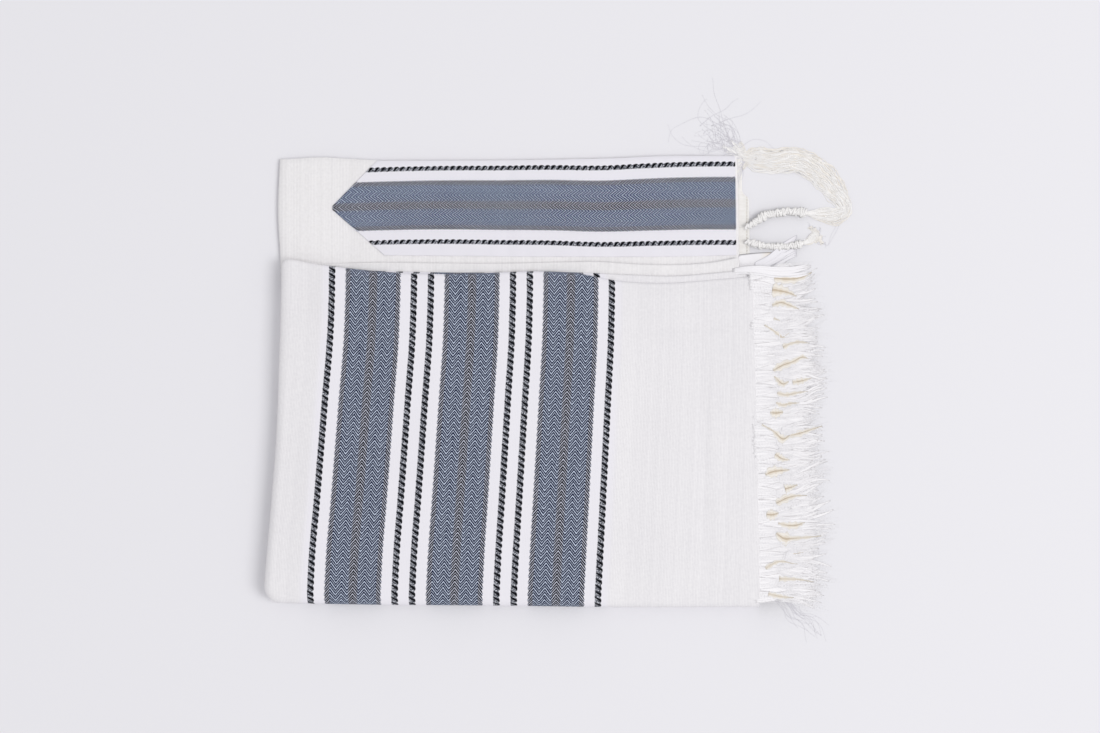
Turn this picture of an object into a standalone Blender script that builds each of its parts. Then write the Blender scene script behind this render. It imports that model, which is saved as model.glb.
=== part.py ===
"""A striped tallit, folded twice across and rolled up from below, lying flat with its front up."""

import math
import random
from collections import namedtuple

import bmesh
import bpy
import numpy as np
from mathutils import Vector

MM = 0.001

# Walls, gaps and heights above the surface, in millimetres.
CLOTH = 1.3
SEAM = 0.3
BACK_TOP = 5.2
FRONT_TOP = 17.6
FRONT_TOP_AT_FRINGE = 15.6
HIDDEN_BACK_TOP = 3.0
HIDDEN_FRONT_TOP = 14.4
HIDDEN_TOP_AT_FRINGE = 12.6
BAND = 2.8
NECKBAND = 0.9
PATCH = 1.6

# A fold: how far the cloth bulges past its flat top, where its turned edge ends, and how far it turns.
Fold = namedtuple("Fold", "reach lands turn")
FOLD_STEPS = 5
FRONT_FOLDS = {
    "left": Fold(3.0, 12.1, 120.0),
    "lower": Fold(7.0, 1.0, 160.0),
    "upper": Fold(2.6, 12.1, 120.0),
}
BACK_FOLDS = {"left": Fold(2.2, 2.6, 100.0), "right": Fold(1.8, 2.6, 100.0)}

# Where each edge lies, seen from above: (place along the edge, place across it), in millimetres.
FRONT_LEFT = (
    (-198.0, -218.4), (-186.0, -217.7), (-108.0, -211.3), (-54.0, -207.0), (31.0, -203.8), (110.0, -201.7),
)
FRONT_LOWER = ((-219.0, -193.6), (-177.0, -194.8), (12.0, -196.9), (78.0, -197.8), (223.0, -197.8))
FRONT_RIGHT = ((-198.0, 217.7), (-60.0, 215.4), (90.0, 211.4))
FRONT_UPPER = (
    (-202.0, 109.7), (-178.0, 104.8), (-141.0, 99.7), (-97.0, 95.9), (-63.0, 94.9),
    (63.0, 94.5), (90.0, 89.4), (141.0, 87.1), (171.0, 89.2), (219.0, 93.4),
)
THIRD_UPPER = (
    (-202.0, 107.2), (-178.0, 102.6), (-141.0, 98.8), (-97.0, 97.2), (-63.0, 96.4),
    (63.0, 96.2), (103.0, 94.4), (143.0, 93.3), (179.0, 96.0), (199.0, 98.0), (219.0, 101.0),
)
SECOND_UPPER = (
    (-202.0, 107.8), (-179.0, 105.4), (-113.0, 105.5), (-10.0, 104.7), (42.0, 105.7), (71.0, 106.3),
    (119.0, 103.7), (152.0, 103.7), (181.0, 106.3), (198.0, 109.7),
)
BACK_LEFT = ((60.0, -203.6), (110.0, -204.6), (150.0, -206.8), (196.0, -205.0))
BACK_RIGHT = ((60.0, 200.6), (120.0, 200.4), (200.0, 198.6))
BACK_UPPER = (
    (-205.0, 196.3), (-165.0, 198.5), (-143.0, 197.2), (-116.0, 195.9), (-80.0, 195.9), (-10.0, 196.1),
    (91.0, 198.1), (144.0, 200.0), (200.0, 199.7),
)
NECKBAND_LOWER = ((-160.0, 112.4), (42.0, 110.6), (166.0, 111.1), (199.0, 112.0))
NECKBAND_POINT = ((112.4, -113.1), (153.4, -159.7), (195.2, -118.9))
NECKBAND_RIGHT = ((110.0, 198.0), (200.0, 196.8))

PATCH_LEFT = ((98.0, 196.6), (202.0, 196.6))
PATCH_LOWER = ((190.0, 101.4), (212.0, 100.6))
PATCH_RIGHT = ((98.0, 210.4), (160.0, 209.6), (163.0, 209.0), (167.0, 203.6), (202.0, 203.0))
PATCH_UPPER = ((190.0, 199.2), (212.0, 198.6))
PATCH_EDGE = ((0.0, 0.5), (0.3, 0.0), (0.7, 0.0), (1.0, 0.5))  # share of its height, how far in

# The pile falls between these places towards the fringe.
FALL_FROM = 60.0
FALL_TO = 215.0

# Straight edges under the front, where the hidden rolls begin and the layers that peep out end.
ROLL_EDGE = 80.0
LAYER_END = 81.0
BACK_JOIN = 60.0
PAST_SIDES = 230.0
BAND_LEFT = -200.0
SECOND_RIGHT = 200.3
THIRD_RIGHT = 215.0

# The radii of rounded corners.
FRONT_CORNERS = {"lower left": 5.0, "upper left": 2.0}
ROLL_CORNERS = {"lower left": 14.0}
BAND_CORNERS = {"upper left": 3.0, "upper right": 2.0}

# The hidden layers' ends: how far they lie in from the visible layers' edges, and how deep their creases are.
HIDDEN_FOLDS = 4
FOLDED_END = 0.4
FOLDED_CREASE = 1.5
LOOSE_END = 3.4
LOOSE_CREASE = 1.0
ROLLS_SHOW_TO = 11.4
ROLLS_INSIDE_FRONT = (  # z, further in at the folded end, further in at the fringe end
    (12.2, 2.3, 0.2),
    (13.6, 2.3, 0.6),
    (HIDDEN_FRONT_TOP, 3.9, 1.6),
)
BackRow = namedtuple("BackRow", "z left right upper")
THIN_BACK = (
    BackRow(0.0, 1.4, 4.6, 1.4),
    BackRow(0.5, 0.6, 4.4, 0.6),
    BackRow(1.1, 0.6, 4.2, 0.4),
    BackRow(1.5, 1.4, 4.6, 1.2),
    BackRow(1.9, 2.6, 4.8, 0.6),
    BackRow(2.5, 2.8, 5.0, 0.6),
    BackRow(HIDDEN_BACK_TOP, 3.4, 5.4, 1.2),
)

# Soft creases: middle, half sizes and depth, in millimetres. A negative depth is a swelling.
Crease = namedtuple("Crease", "x y half_x half_y depth")
FRONT_CREASES = (
    Crease(152.0, 49.0, 66.0, 7.0, 0.7),
    Crease(168.0, -68.0, 7.0, 107.0, 0.5),
    Crease(-177.0, 78.0, 20.0, 24.0, 0.9),
    Crease(-60.0, -120.0, 120.0, 30.0, -0.5),
)
BACK_CREASES = (
    Crease(-4.0, 150.0, 9.0, 60.0, 0.5),
    Crease(92.0, 150.0, 22.0, 60.0, 0.3),
    Crease(-60.0, 150.0, 30.0, 60.0, -0.3),
)

# A station along a trunk or a strand: its middle, and how wide and how tall it is there.
Station = namedtuple("Station", "x y z wide tall")

# A fringe: how many groups it is tied in, where its strip runs, and the sizes of one group's trunk and locks.
# edge is how far the strip stands off the cloth's end, and out is measured from the strip.
Knotting = namedtuple("Knotting", "groups low_y high_y edge low_z high_z rows trunk locks")
Run = namedtuple("Run", "out z wide tall")
Lock = namedtuple("Lock", "row side tip_side reach runs")

FRINGE_STRIP = 1.6
LONG_LOCK = (Run(29.0, 8.8, 3.4, 2.2), Run(47.0, 5.8, 3.4, 2.0), Run(67.0, 3.2, 1.0, 0.8))
LOW_LOCK = (Run(29.0, 5.5, 3.4, 2.2), Run(45.0, 2.9, 3.2, 1.7), Run(62.0, 1.2, 1.0, 0.8))
UNDER_LOCK = (Run(28.0, 1.9, 3.6, 1.8), Run(41.0, 1.2, 3.2, 1.4), Run(52.0, 0.9, 1.0, 0.7))
FRONT_FRINGE = Knotting(
    groups=25, low_y=-193.5, high_y=91.0, edge=0.4, low_z=12.8, high_z=15.2, rows=2,
    trunk=(
        Run(5.0, 13.4, 7.0, 2.8), Run(10.5, 12.2, 4.4, 3.4),
        Run(16.0, 10.7, 7.6, 5.8), Run(21.5, 9.4, 5.2, 4.2),
    ),
    locks=(
        Lock(1, -2.1, -3.3, 1.0, LONG_LOCK), Lock(1, 2.1, 2.2, 0.93, LONG_LOCK),
        Lock(0, -2.1, -1.4, 1.0, LOW_LOCK), Lock(0, 2.1, 3.6, 1.04, LOW_LOCK),
    ),
)
UNDER_FRINGE = Knotting(
    groups=24, low_y=-187.5, high_y=86.0, edge=-2.9, low_z=4.6, high_z=7.0, rows=1,
    trunk=(
        Run(5.0, 5.4, 7.0, 2.2), Run(11.0, 4.2, 4.2, 2.6),
        Run(16.0, 3.3, 6.6, 3.8), Run(21.0, 2.8, 4.6, 2.8),
    ),
    locks=(Lock(0, -2.2, -2.6, 1.0, UNDER_LOCK), Lock(0, 2.2, 2.8, 0.95, UNDER_LOCK)),
)

# Groups at the fringe's ends that stray from their lanes: how far their tips and their middles lie off.
Stray = namedtuple("Stray", "tip bow")
STRAYS = {0: Stray(-17.0, 0.0), 24: Stray(6.0, 12.0)}
NO_STRAY = Stray(0.0, 0.0)

# A tzitzit from above: its wound head, the way its threads run on together, and where each ends.
# The threads lie in lanes, listed from the left, and two rows to a lane, the lower one first.
Tzitzit = namedtuple("Tzitzit", "start head run tips spread")
UPPER_TZITZIT = Tzitzit(
    start=(211.9, 138.8, 2.6),
    head=(  # x, y, z, wide
        (214.6, 141.4, 3.4, 5.6), (217.5, 146.0, 3.8, 5.0), (221.0, 149.4, 4.0, 7.4),
        (226.0, 149.0, 3.8, 5.2), (231.5, 148.6, 3.8, 5.2), (236.0, 149.6, 4.0, 7.0),
        (241.0, 151.0, 3.8, 5.2), (247.0, 152.2, 3.8, 5.2), (252.0, 152.6, 4.2, 8.0),
        (256.5, 151.8, 4.6, 8.6), (261.0, 151.4, 4.0, 6.4),
    ),
    run=(
        (273.0, 150.6), (286.0, 152.0), (293.0, 160.5), (290.5, 174.5), (280.0, 188.0), (264.0, 197.0),
        (246.0, 198.6), (229.0, 199.0), (213.0, 207.0),
    ),
    tips=(
        (142.0, 224.0), (158.0, 238.0), (170.0, 251.0), (186.0, 240.0), (178.0, 270.0), (196.0, 252.0),
        (206.0, 236.0), (219.0, 250.0),
    ),
    spread=5.4,
)
LOWER_TZITZIT = Tzitzit(
    start=(211.2, 123.8, 2.6),
    head=(
        (214.0, 123.0, 3.4, 5.4), (218.5, 121.6, 3.8, 7.0), (223.5, 120.6, 3.8, 5.0),
        (230.0, 119.8, 3.8, 5.0), (235.0, 119.4, 4.0, 7.2), (240.5, 119.4, 3.8, 5.0),
        (247.0, 120.0, 3.8, 5.0), (252.0, 121.0, 4.2, 7.8), (256.5, 122.4, 3.8, 6.0),
    ),
    run=((263.0, 125.0), (268.5, 128.6)),
    tips=(
        (286.0, 141.0), (281.0, 139.5), (289.0, 135.0), (286.0, 131.0), (291.0, 127.0), (286.0, 122.0),
        (289.0, 116.0), (283.0, 118.0),
    ),
    spread=4.4,
)
HEAD_START_WIDE = 4.4
HEAD_START_TALL = 3.2
THREADS_ACROSS = 4
THREAD_HEIGHTS = (2.4, 5.3)
TIP_HEIGHTS = (2.2, 3.1)
THREAD_WIDE = 3.0
THREAD_TALL = 1.9

# Each piece's cells, across and up.
FRONT_CELLS = (18, 14)
BACK_CELLS = (18, 5)
NECKBAND_CELLS = (14, 6)
ROLL_CELLS = (8, 8)
THIN_BACK_CELLS = (10, 4)
BAND_CELLS = (16, 2)
PATCH_CELLS = (2, 12)

COLOURS = {
    "wool_cloth": ((0.83, 0.81, 0.77, 1.0), 0.92),
    "neckband_weave": ((0.16, 0.24, 0.38, 1.0), 0.88),
    "corner_patch_cloth": ((0.84, 0.82, 0.76, 1.0), 0.9),
    "fringe_yarn": ((0.86, 0.82, 0.72, 1.0), 0.95),
    "tzitzit_cord": ((0.86, 0.83, 0.75, 1.0), 0.93),
}


def clear_scene():
    for thing in list(bpy.data.objects):
        bpy.data.objects.remove(thing, do_unlink=True)


def material(name):
    made = bpy.data.materials.get(name) or bpy.data.materials.new(name)
    made.use_nodes = True
    colour, roughness = COLOURS[name]
    shader = made.node_tree.nodes["Principled BSDF"]
    shader.inputs["Base Color"].default_value = colour
    shader.inputs["Roughness"].default_value = roughness
    shader.inputs["Metallic"].default_value = 0.0
    return made


def finish(bm, name, material_name, collection):
    """Turns the mesh into a named object with its faces out and its round parts smooth."""
    bmesh.ops.recalc_face_normals(bm, faces=bm.faces)
    mesh = bpy.data.meshes.new(name)
    bm.to_mesh(mesh)
    bm.free()
    made = bpy.data.objects.new(name, mesh)
    mesh.materials.append(material(material_name))
    mesh.shade_smooth()
    mesh.set_sharp_from_angle(angle=math.radians(50.0))
    collection.objects.link(made)
    return made


def smooth(rows, at):
    """Reads a table of (place, value) rows at a place, on a smooth curve through the rows."""
    place, value = np.array(rows, float).T
    slope = np.gradient(value, place)
    at = min(max(at, place[0]), place[-1])
    i = int(np.clip(np.searchsorted(place, at) - 1, 0, len(place) - 2))
    step = place[i + 1] - place[i]
    t = (at - place[i]) / step
    start = (1 + 2 * t) * (1 - t) ** 2 * value[i] + t * (1 - t) ** 2 * step * slope[i]
    end = t * t * (3 - 2 * t) * value[i + 1] + t * t * (t - 1) * step * slope[i + 1]
    return float(start + end)


def straight(rows, at):
    place, value = np.array(rows, float).T
    return float(np.interp(at, place, value))


def fall_share(x):
    """How much of the pile's fall towards the fringe has happened at x."""
    share = min(max((x - FALL_FROM) / (FALL_TO - FALL_FROM), 0.0), 1.0)
    return share * share * (3 - 2 * share)


def level_edge(y):
    """A lower or upper edge that runs straight across at y."""
    return ((-PAST_SIDES, y), (PAST_SIDES, y))


def dented(creases, x, y):
    """How far the soft creases lower the cloth at a point."""
    return sum(
        c.depth * math.exp(-(((x - c.x) / c.half_x) ** 2) - ((y - c.y) / c.half_y) ** 2)
        for c in creases
    )


def front_height(x, y):
    """The front's outer face: it falls towards the fringe, where no fold holds the layers up."""
    fall = (FRONT_TOP - FRONT_TOP_AT_FRINGE) * fall_share(x)
    return FRONT_TOP - fall - dented(FRONT_CREASES, x, y)


def back_height(x, y):
    return BACK_TOP - dented(BACK_CREASES, x, y)


class Outline:
    """A layer from above: left and right edges give x along y, lower and upper edges give y along x."""

    def __init__(self, left, lower, right, upper, corners=(), read_sides=smooth):
        self.left = lambda y: read_sides(left, y)
        self.lower = lambda x: smooth(lower, x)
        self.right = lambda y: read_sides(right, y)
        self.upper = lambda x: smooth(upper, x)
        self.corners = dict(corners)
        middle_y = (lower[0][1] + upper[0][1]) / 2
        self.width = right[0][1] - self.left(middle_y)
        self.height = upper[0][1] - lower[0][1]

    def stations(self, count_across, count_up):
        """Shares across and up: even ones, with two more inside each rounded corner."""
        radius = self.corners.get
        left = max(radius("lower left", 0.0), radius("upper left", 0.0))
        right = max(radius("lower right", 0.0), radius("upper right", 0.0))
        lower = max(radius("lower left", 0.0), radius("lower right", 0.0))
        upper = max(radius("upper left", 0.0), radius("upper right", 0.0))
        return spaced(self.width, count_across, left, right), spaced(self.height, count_up, lower, upper)

    def round_off(self, u, w):
        """Moves a place near a rounded corner, so that the edges meet in an arc."""
        for name, radius in self.corners.items():
            upper, right = "upper" in name, "right" in name
            a = (1 - u if right else u) * self.width / radius
            b = (1 - w if upper else w) * self.height / radius
            if a >= 1 or b >= 1:
                continue
            p, q = 1 - a, 1 - b
            a = (1 - p * math.sqrt(1 - q * q / 2)) * radius / self.width
            b = (1 - q * math.sqrt(1 - p * p / 2)) * radius / self.height
            u, w = (1 - a if right else a), (1 - b if upper else b)
        return u, w

    def at(self, u, w, inset):
        """The point at the share u across and w up, with its left, lower, right and upper edges moved in."""
        u, w = self.round_off(u, w)
        x = self.left(self.lower(0.0) + w * self.height) + u * self.width
        for _ in range(4):
            low, high = self.lower(x) + inset[1], self.upper(x) - inset[3]
            y = low + (high - low) * w
            first, last = self.left(y) + inset[0], self.right(y) - inset[2]
            x = first + (last - first) * u
        return x, y


def spaced(length, count, first_corner, last_corner):
    places = list(np.linspace(first_corner, length - last_corner, count + 1))
    if first_corner:
        places = [0.0, first_corner / 2] + places
    if last_corner:
        places = places + [length - last_corner / 2, length]
    return [place / length for place in places]


def sheet(outline, height, counts, folds):
    """An open sheet on its outline, with the folds that turn its edges over."""
    columns, rows = outline.stations(*counts)
    inset = [folds[side].reach if side in folds else 0.0 for side in ("left", "lower", "right", "upper")]
    last_i, last_j = len(columns) - 1, len(rows) - 1
    bm = bmesh.new()
    bmesh.ops.create_grid(bm, x_segments=last_i, y_segments=last_j, size=1.0)
    rim = {}
    for vert in bm.verts:
        i = round((vert.co.x + 1) / 2 * last_i)
        j = round((vert.co.y + 1) / 2 * last_j)
        x, y = outline.at(columns[i], rows[j], inset)
        vert.co = Vector((x, y, height(x, y))) * MM
        lies_on = {"left": i == 0, "lower": j == 0, "right": i == last_i, "upper": j == last_j}
        rim[vert] = {side for side in folds if lies_on[side]}
    if folds:
        turn_over(bm, rim, folds)
    return bm


def turn_over(bm, rim, folds):
    """Extrudes the folded sides step by step round their folds."""
    edges = [e for e in bm.edges if e.is_boundary and rim[e.verts[0]] & rim[e.verts[1]]]
    outward = {vert: Vector() for edge in edges for vert in edge.verts}
    for edge in edges:
        run = edge.verts[1].co - edge.verts[0].co
        normal = Vector((run.y, -run.x, 0.0)).normalized()
        if normal.dot(edge.verts[0].co - edge.link_faces[0].calc_center_median()) < 0:
            normal.negate()
        for vert in edge.verts:
            outward[vert] += normal
    base = {vert: (vert.co.copy(), out.normalized()) for vert, out in outward.items()}
    for step in range(1, FOLD_STEPS + 1):
        made = bmesh.ops.extrude_edge_only(bm, edges=edges)["geom"]
        edges = [item for item in made if isinstance(item, bmesh.types.BMEdge)]
        fresh = {}
        for vert in (item for item in made if isinstance(item, bmesh.types.BMVert)):
            old = next(e.other_vert(vert) for e in vert.link_edges if e.other_vert(vert) in base)
            fresh[vert] = base[old]
        for vert, (start, out) in fresh.items():
            fold = fold_towards(out, folds)
            turn = math.radians(fold.turn)
            angle = turn * step / FOLD_STEPS
            down = (start.z - fold.lands * MM) * (1 - math.cos(angle)) / (1 - math.cos(turn))
            vert.co = start + out * fold.reach * MM * math.sin(angle) - Vector((0.0, 0.0, down))
        base = fresh


def fold_towards(out, folds):
    """The fold where the edge faces this way: a side's own, eased into the next round a corner."""
    across = folds.get("left" if out.x < 0 else "right")
    along = folds.get("lower" if out.y < 0 else "upper")
    if across is None or along is None:
        return across or along
    share = out.x * out.x
    return Fold(*(a * share + b * (1 - share) for a, b in zip(across, along)))


def thicken(made, wall):
    solid = made.modifiers.new("wall", "SOLIDIFY")
    solid.thickness = wall * MM
    solid.offset = -1.0
    solid.use_even_offset = True


def block(outline, levels, counts):
    """A closed solid through one ring of the outline for each level: a height function and four insets."""
    columns, rows = outline.stations(*counts)
    ring = [(u, 0.0) for u in columns[:-1]] + [(1.0, w) for w in rows[:-1]]
    ring += [(u, 1.0) for u in reversed(columns[1:])] + [(0.0, w) for w in reversed(rows[1:])]
    bm = bmesh.new()
    bmesh.ops.create_circle(bm, cap_ends=True, segments=len(ring), radius=1.0)
    bm.faces.ensure_lookup_table()
    face = bm.faces[0]
    for number, (height, inset) in enumerate(levels):
        if number:
            base = face
            made = bmesh.ops.extrude_face_region(bm, geom=[base])["geom"]
            faces = [item for item in made if isinstance(item, bmesh.types.BMFace)]
            face = next(item for item in faces if len(item.verts) == len(ring))
            if number > 1:
                bmesh.ops.delete(bm, geom=[base], context="FACES_ONLY")
        for vert, (u, w) in zip(face.verts, ring):
            x, y = outline.at(u, w, inset)
            vert.co = Vector((x, y, height(x, y))) * MM
    return bm


# One fold in a pile of folds, from its foot to its head: how much of the crease's depth each end shows.
FOLD_PROFILE = (  # share of the fold's height, at the folded end, at the fringe end
    (0.0, 1.0, 1.0),
    (0.25, 0.15, 0.0),
    (0.5, 0.0, 1.0),
    (0.75, 0.15, 0.0),
    (0.92, 1.0, 1.0),
)


def layered(top, folds):
    """Rows of a pile of folds: height, and how far its left and right ends lie in."""
    tall = top / folds
    return [
        (tall * (fold + share), FOLDED_CREASE * left, LOOSE_CREASE * right)
        for fold in range(folds)
        for share, left, right in FOLD_PROFILE
    ]


def inside_lower_fold(z):
    """How far in the hidden rolls lie from the lower edge, to fill the fold that wraps them."""
    fold = FRONT_FOLDS["lower"]
    half = (FRONT_TOP - fold.lands) / 2
    lift = min(abs(z - fold.lands - half) / (half - CLOTH), 0.98)
    return fold.reach - (fold.reach - CLOTH) * math.sqrt(1 - lift * lift) + 3 * SEAM


def flat(z):
    return lambda x, y: z


def sinking(z):
    """A level of the rolls, which sink towards the fringe as the front above them does."""
    sunk = 1 - HIDDEN_TOP_AT_FRINGE / HIDDEN_FRONT_TOP
    return lambda x, y: z * (1 - sunk * fall_share(x))


def hidden_layers(parts, helpers):
    """The layers that don't show, as one solid: the thin back ones, and the rolls under the front."""
    rolls = Outline(FRONT_LEFT, FRONT_LOWER, FRONT_RIGHT, level_edge(ROLL_EDGE), ROLL_CORNERS)
    levels = [
        (sinking(z), (FOLDED_END + left, inside_lower_fold(z), LOOSE_END + right, 0.0))
        for z, left, right in [*layered(ROLLS_SHOW_TO, HIDDEN_FOLDS), *ROLLS_INSIDE_FRONT]
    ]
    rolled = finish(block(rolls, levels, ROLL_CELLS), "hidden_layers", "wool_cloth", parts)

    back = Outline(BACK_LEFT, level_edge(BACK_JOIN), BACK_RIGHT, BACK_UPPER)
    levels = [(flat(row.z), (row.left, 0.0, row.right, row.upper)) for row in THIN_BACK]
    thin = finish(block(back, levels, THIN_BACK_CELLS), "thin_back_layers", "wool_cloth", helpers)
    thin.hide_render = True
    thin.display_type = "WIRE"
    join = rolled.modifiers.new("with the thin back", "BOOLEAN")
    join.operation = "UNION"
    join.object = thin


def front_panel(parts):
    outline = Outline(FRONT_LEFT, FRONT_LOWER, FRONT_RIGHT, FRONT_UPPER, FRONT_CORNERS)
    made = finish(sheet(outline, front_height, FRONT_CELLS, FRONT_FOLDS), "front_panel", "wool_cloth", parts)
    thicken(made, CLOTH)


# The rounded edge of a layer that is folded flat: share of its height, and how far in it lies.
FLAT_FOLD = ((0.0, 1.3), (0.2, 0.4), (0.5, 0.0), (0.8, 0.4), (1.0, 1.3))


def folded_bands(parts):
    """The second and third turns of the roll, whose folded edges peep out above the front."""
    lowest = BACK_TOP + 2 * SEAM
    for name, upper, right, bottom in (
        ("second_fold", SECOND_UPPER, SECOND_RIGHT, lowest),
        ("third_fold", THIRD_UPPER, THIRD_RIGHT, lowest + BAND + SEAM),
    ):
        sides = [((LAYER_END, x), (upper[0][1], x)) for x in (BAND_LEFT, right)]
        outline = Outline(sides[0], level_edge(LAYER_END), sides[1], upper, BAND_CORNERS)
        levels = [(flat(bottom + share * BAND), (tuck, 0.0, tuck, tuck)) for share, tuck in FLAT_FOLD]
        finish(block(outline, levels, BAND_CELLS), name, "wool_cloth", parts)


def back_panel(parts):
    outline = Outline(BACK_LEFT, level_edge(LAYER_END), BACK_RIGHT, BACK_UPPER)
    made = finish(sheet(outline, back_height, BACK_CELLS, BACK_FOLDS), "back_panel", "wool_cloth", parts)
    thicken(made, CLOTH)


def neckband(parts):
    """The atara: a woven band with a pointed end, sewn flat on the back panel from its own points."""
    upper = [(x, y - SEAM) for x, y in BACK_UPPER]
    outline = Outline(NECKBAND_POINT, NECKBAND_LOWER, NECKBAND_RIGHT, upper, read_sides=straight)

    def lying(x, y):
        return back_height(x, y) + 1.5 * SEAM + NECKBAND

    made = finish(sheet(outline, lying, NECKBAND_CELLS, {}), "neckband", "neckband_weave", parts)
    thicken(made, NECKBAND)


def corner_patch(parts):
    """The shawl's corner, with its reinforcing patch, where it shows past the back panel's fold."""
    outline = Outline(PATCH_LEFT, PATCH_LOWER, PATCH_RIGHT, PATCH_UPPER, read_sides=straight)
    levels = [(flat(share * PATCH), (0.0, tuck, tuck, tuck)) for share, tuck in PATCH_EDGE]
    finish(block(outline, levels, PATCH_CELLS), "corner_patch", "corner_patch_cloth", parts)


def draw_out(bm, faces, stations, keep_root=False):
    """Extrudes a block of faces from station to station, and returns the block at the far end."""
    corners = {vert for face in faces for vert in face.verts}
    before = sum((vert.co for vert in corners), Vector()) / len(corners)
    side = side_of(Vector(stations[0][:3]) * MM - before)
    wide = max(abs((vert.co - before).dot(side)) for vert in corners)
    tall = max(abs(vert.co.z - before.z) for vert in corners)
    share_at = {}
    for vert in corners:
        across, high = (vert.co - before).dot(side) / wide, (vert.co.z - before.z) / tall
        share_at[tuple(vert.co)] = (round(2 * across) / 2, round(2 * high) / 2)
    for number, station in enumerate(stations):
        here = Vector(station[:3]) * MM
        after = Vector(stations[min(number + 1, len(stations) - 1)][:3]) * MM
        along = (after - before).normalized()
        side = side_of(along)
        up = side.cross(along).normalized()
        made = bmesh.ops.extrude_face_region(bm, geom=faces)["geom"]
        if number or not keep_root:
            bmesh.ops.delete(bm, geom=faces, context="FACES")
        moved = {}
        for vert in (item for item in made if isinstance(item, bmesh.types.BMVert)):
            across, high = share_at[tuple(vert.co)]
            vert.co = here + (side * across * station.wide + up * high * station.tall) * (MM / 2)
            moved[vert] = (across, high)
        share_at = {tuple(vert.co): share for vert, share in moved.items()}
        faces = [f for f in made if isinstance(f, bmesh.types.BMFace) and moved.keys() >= set(f.verts)]
        before = here
    return faces


def side_of(along):
    return along.cross(Vector((0.0, 0.0, 1.0))).normalized()


def knotted_fringe(name, tying, strays, seed, parts):
    """Warp ends tied in groups: each group narrows to a knot, then spreads into locks."""
    loose = random.Random(seed)
    pitch = (tying.high_y - tying.low_y) / tying.groups
    bm, roots = backing_strip(tying, pitch)
    for group, root in enumerate(roots):
        middle = tying.low_y + pitch * (group + 0.5)
        start = smooth(FRONT_RIGHT, middle) + tying.edge + FRINGE_STRIP
        drift = loose.uniform(-0.9, 0.9)
        lean = loose.uniform(-1.0, 1.0)
        last = tying.trunk[-1].out
        trunk = [
            Station(start + run.out, middle + drift * run.out / last, run.z, run.wide, run.tall)
            for run in tying.trunk
        ]
        ends = draw_out(bm, root, trunk)
        held = [min(ends, key=lambda face: misfit(face, lock, trunk[-1], tying.rows)) for lock in tying.locks]
        for face, lock in zip(held, tying.locks):
            reach = lock.reach * loose.uniform(0.95, 1.03)
            draw_out(bm, [face], hanging(lock, trunk[-1], last, reach, lean, strays.get(group, NO_STRAY)))
    finish(bm, name, "fringe_yarn", parts)


def backing_strip(tying, pitch):
    """A narrow strip along the cloth's end, and for each group the strip's faces that it grows from."""
    bm = bmesh.new()
    bmesh.ops.create_grid(bm, x_segments=2 * tying.groups, y_segments=tying.rows, size=1.0)
    for vert in bm.verts:
        y = tying.low_y + (tying.high_y - tying.low_y) * (vert.co.x + 1) / 2
        z = tying.low_z + (tying.high_z - tying.low_z) * (vert.co.y + 1) / 2
        vert.co = Vector((smooth(FRONT_RIGHT, y) + tying.edge, y, z)) * MM
    made = bmesh.ops.extrude_face_region(bm, geom=list(bm.faces))["geom"]
    ahead = {item for item in made if isinstance(item, bmesh.types.BMVert)}
    for vert in ahead:
        vert.co.x += FRINGE_STRIP * MM
    roots = [[] for _ in range(tying.groups)]
    for item in made:
        if isinstance(item, bmesh.types.BMFace) and set(item.verts) <= ahead:
            roots[int((item.calc_center_median().y / MM - tying.low_y) / pitch)].append(item)
    return bm, roots


def misfit(face, lock, end, rows):
    """How badly a face at the end of a trunk suits a lock's side and row."""
    centre = face.calc_center_median() / MM
    wrong_side = (centre.y - end.y) * lock.side < 0
    wrong_row = rows > 1 and (centre.z > end.z) != (lock.row > 0)
    return wrong_side + wrong_row


def hanging(lock, end, trunk_out, reach, lean, stray):
    """A lock's stations, from the end of its trunk to its tip."""
    far = lock.runs[-1].out
    stations = []
    for run in lock.runs:
        share = (run.out - trunk_out) / (far - trunk_out)
        y = end.y + lock.side + (lock.tip_side - lock.side + lean + stray.tip) * share
        y += stray.bow * math.sin(math.pi * share)
        stations.append(Station(end.x + (run.out - trunk_out) * reach, y, run.z, run.wide, run.tall))
    return stations


def tzitzit(name, shape, parts):
    """A wound head that opens into eight threads, laid side by side in two rows."""
    rows = len(THREAD_HEIGHTS)
    start, last = Vector(shape.start), Vector(shape.head[-1][:2])
    side = side_of(Vector(shape.head[0][:3]) - start)
    bm = bmesh.new()
    bmesh.ops.create_grid(bm, x_segments=THREADS_ACROSS, y_segments=rows, size=0.5)
    for vert in bm.verts:
        rise = Vector((0.0, 0.0, vert.co.y * HEAD_START_TALL))
        vert.co = (start + side * vert.co.x * HEAD_START_WIDE + rise) * MM
    wound = [Station(x, y, z, wide, min(wide, 2 * z - 1.0)) for x, y, z, wide in shape.head]
    ends = draw_out(bm, list(bm.faces), wound, keep_root=True)
    forward = (Vector(shape.run[0]) - last).normalized()
    right = Vector((forward.y, -forward.x))
    centres = {face: face.calc_center_median() / MM for face in ends}
    ends.sort(key=lambda face: ((centres[face].xy - last).dot(right), centres[face].z))
    for number, face in enumerate(ends):
        lane, row = divmod(number, rows)
        draw_out(bm, [face], thread(shape, last, lane, row, Vector(shape.tips[number])))
    finish(bm, name, "tzitzit_cord", parts)


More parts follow.
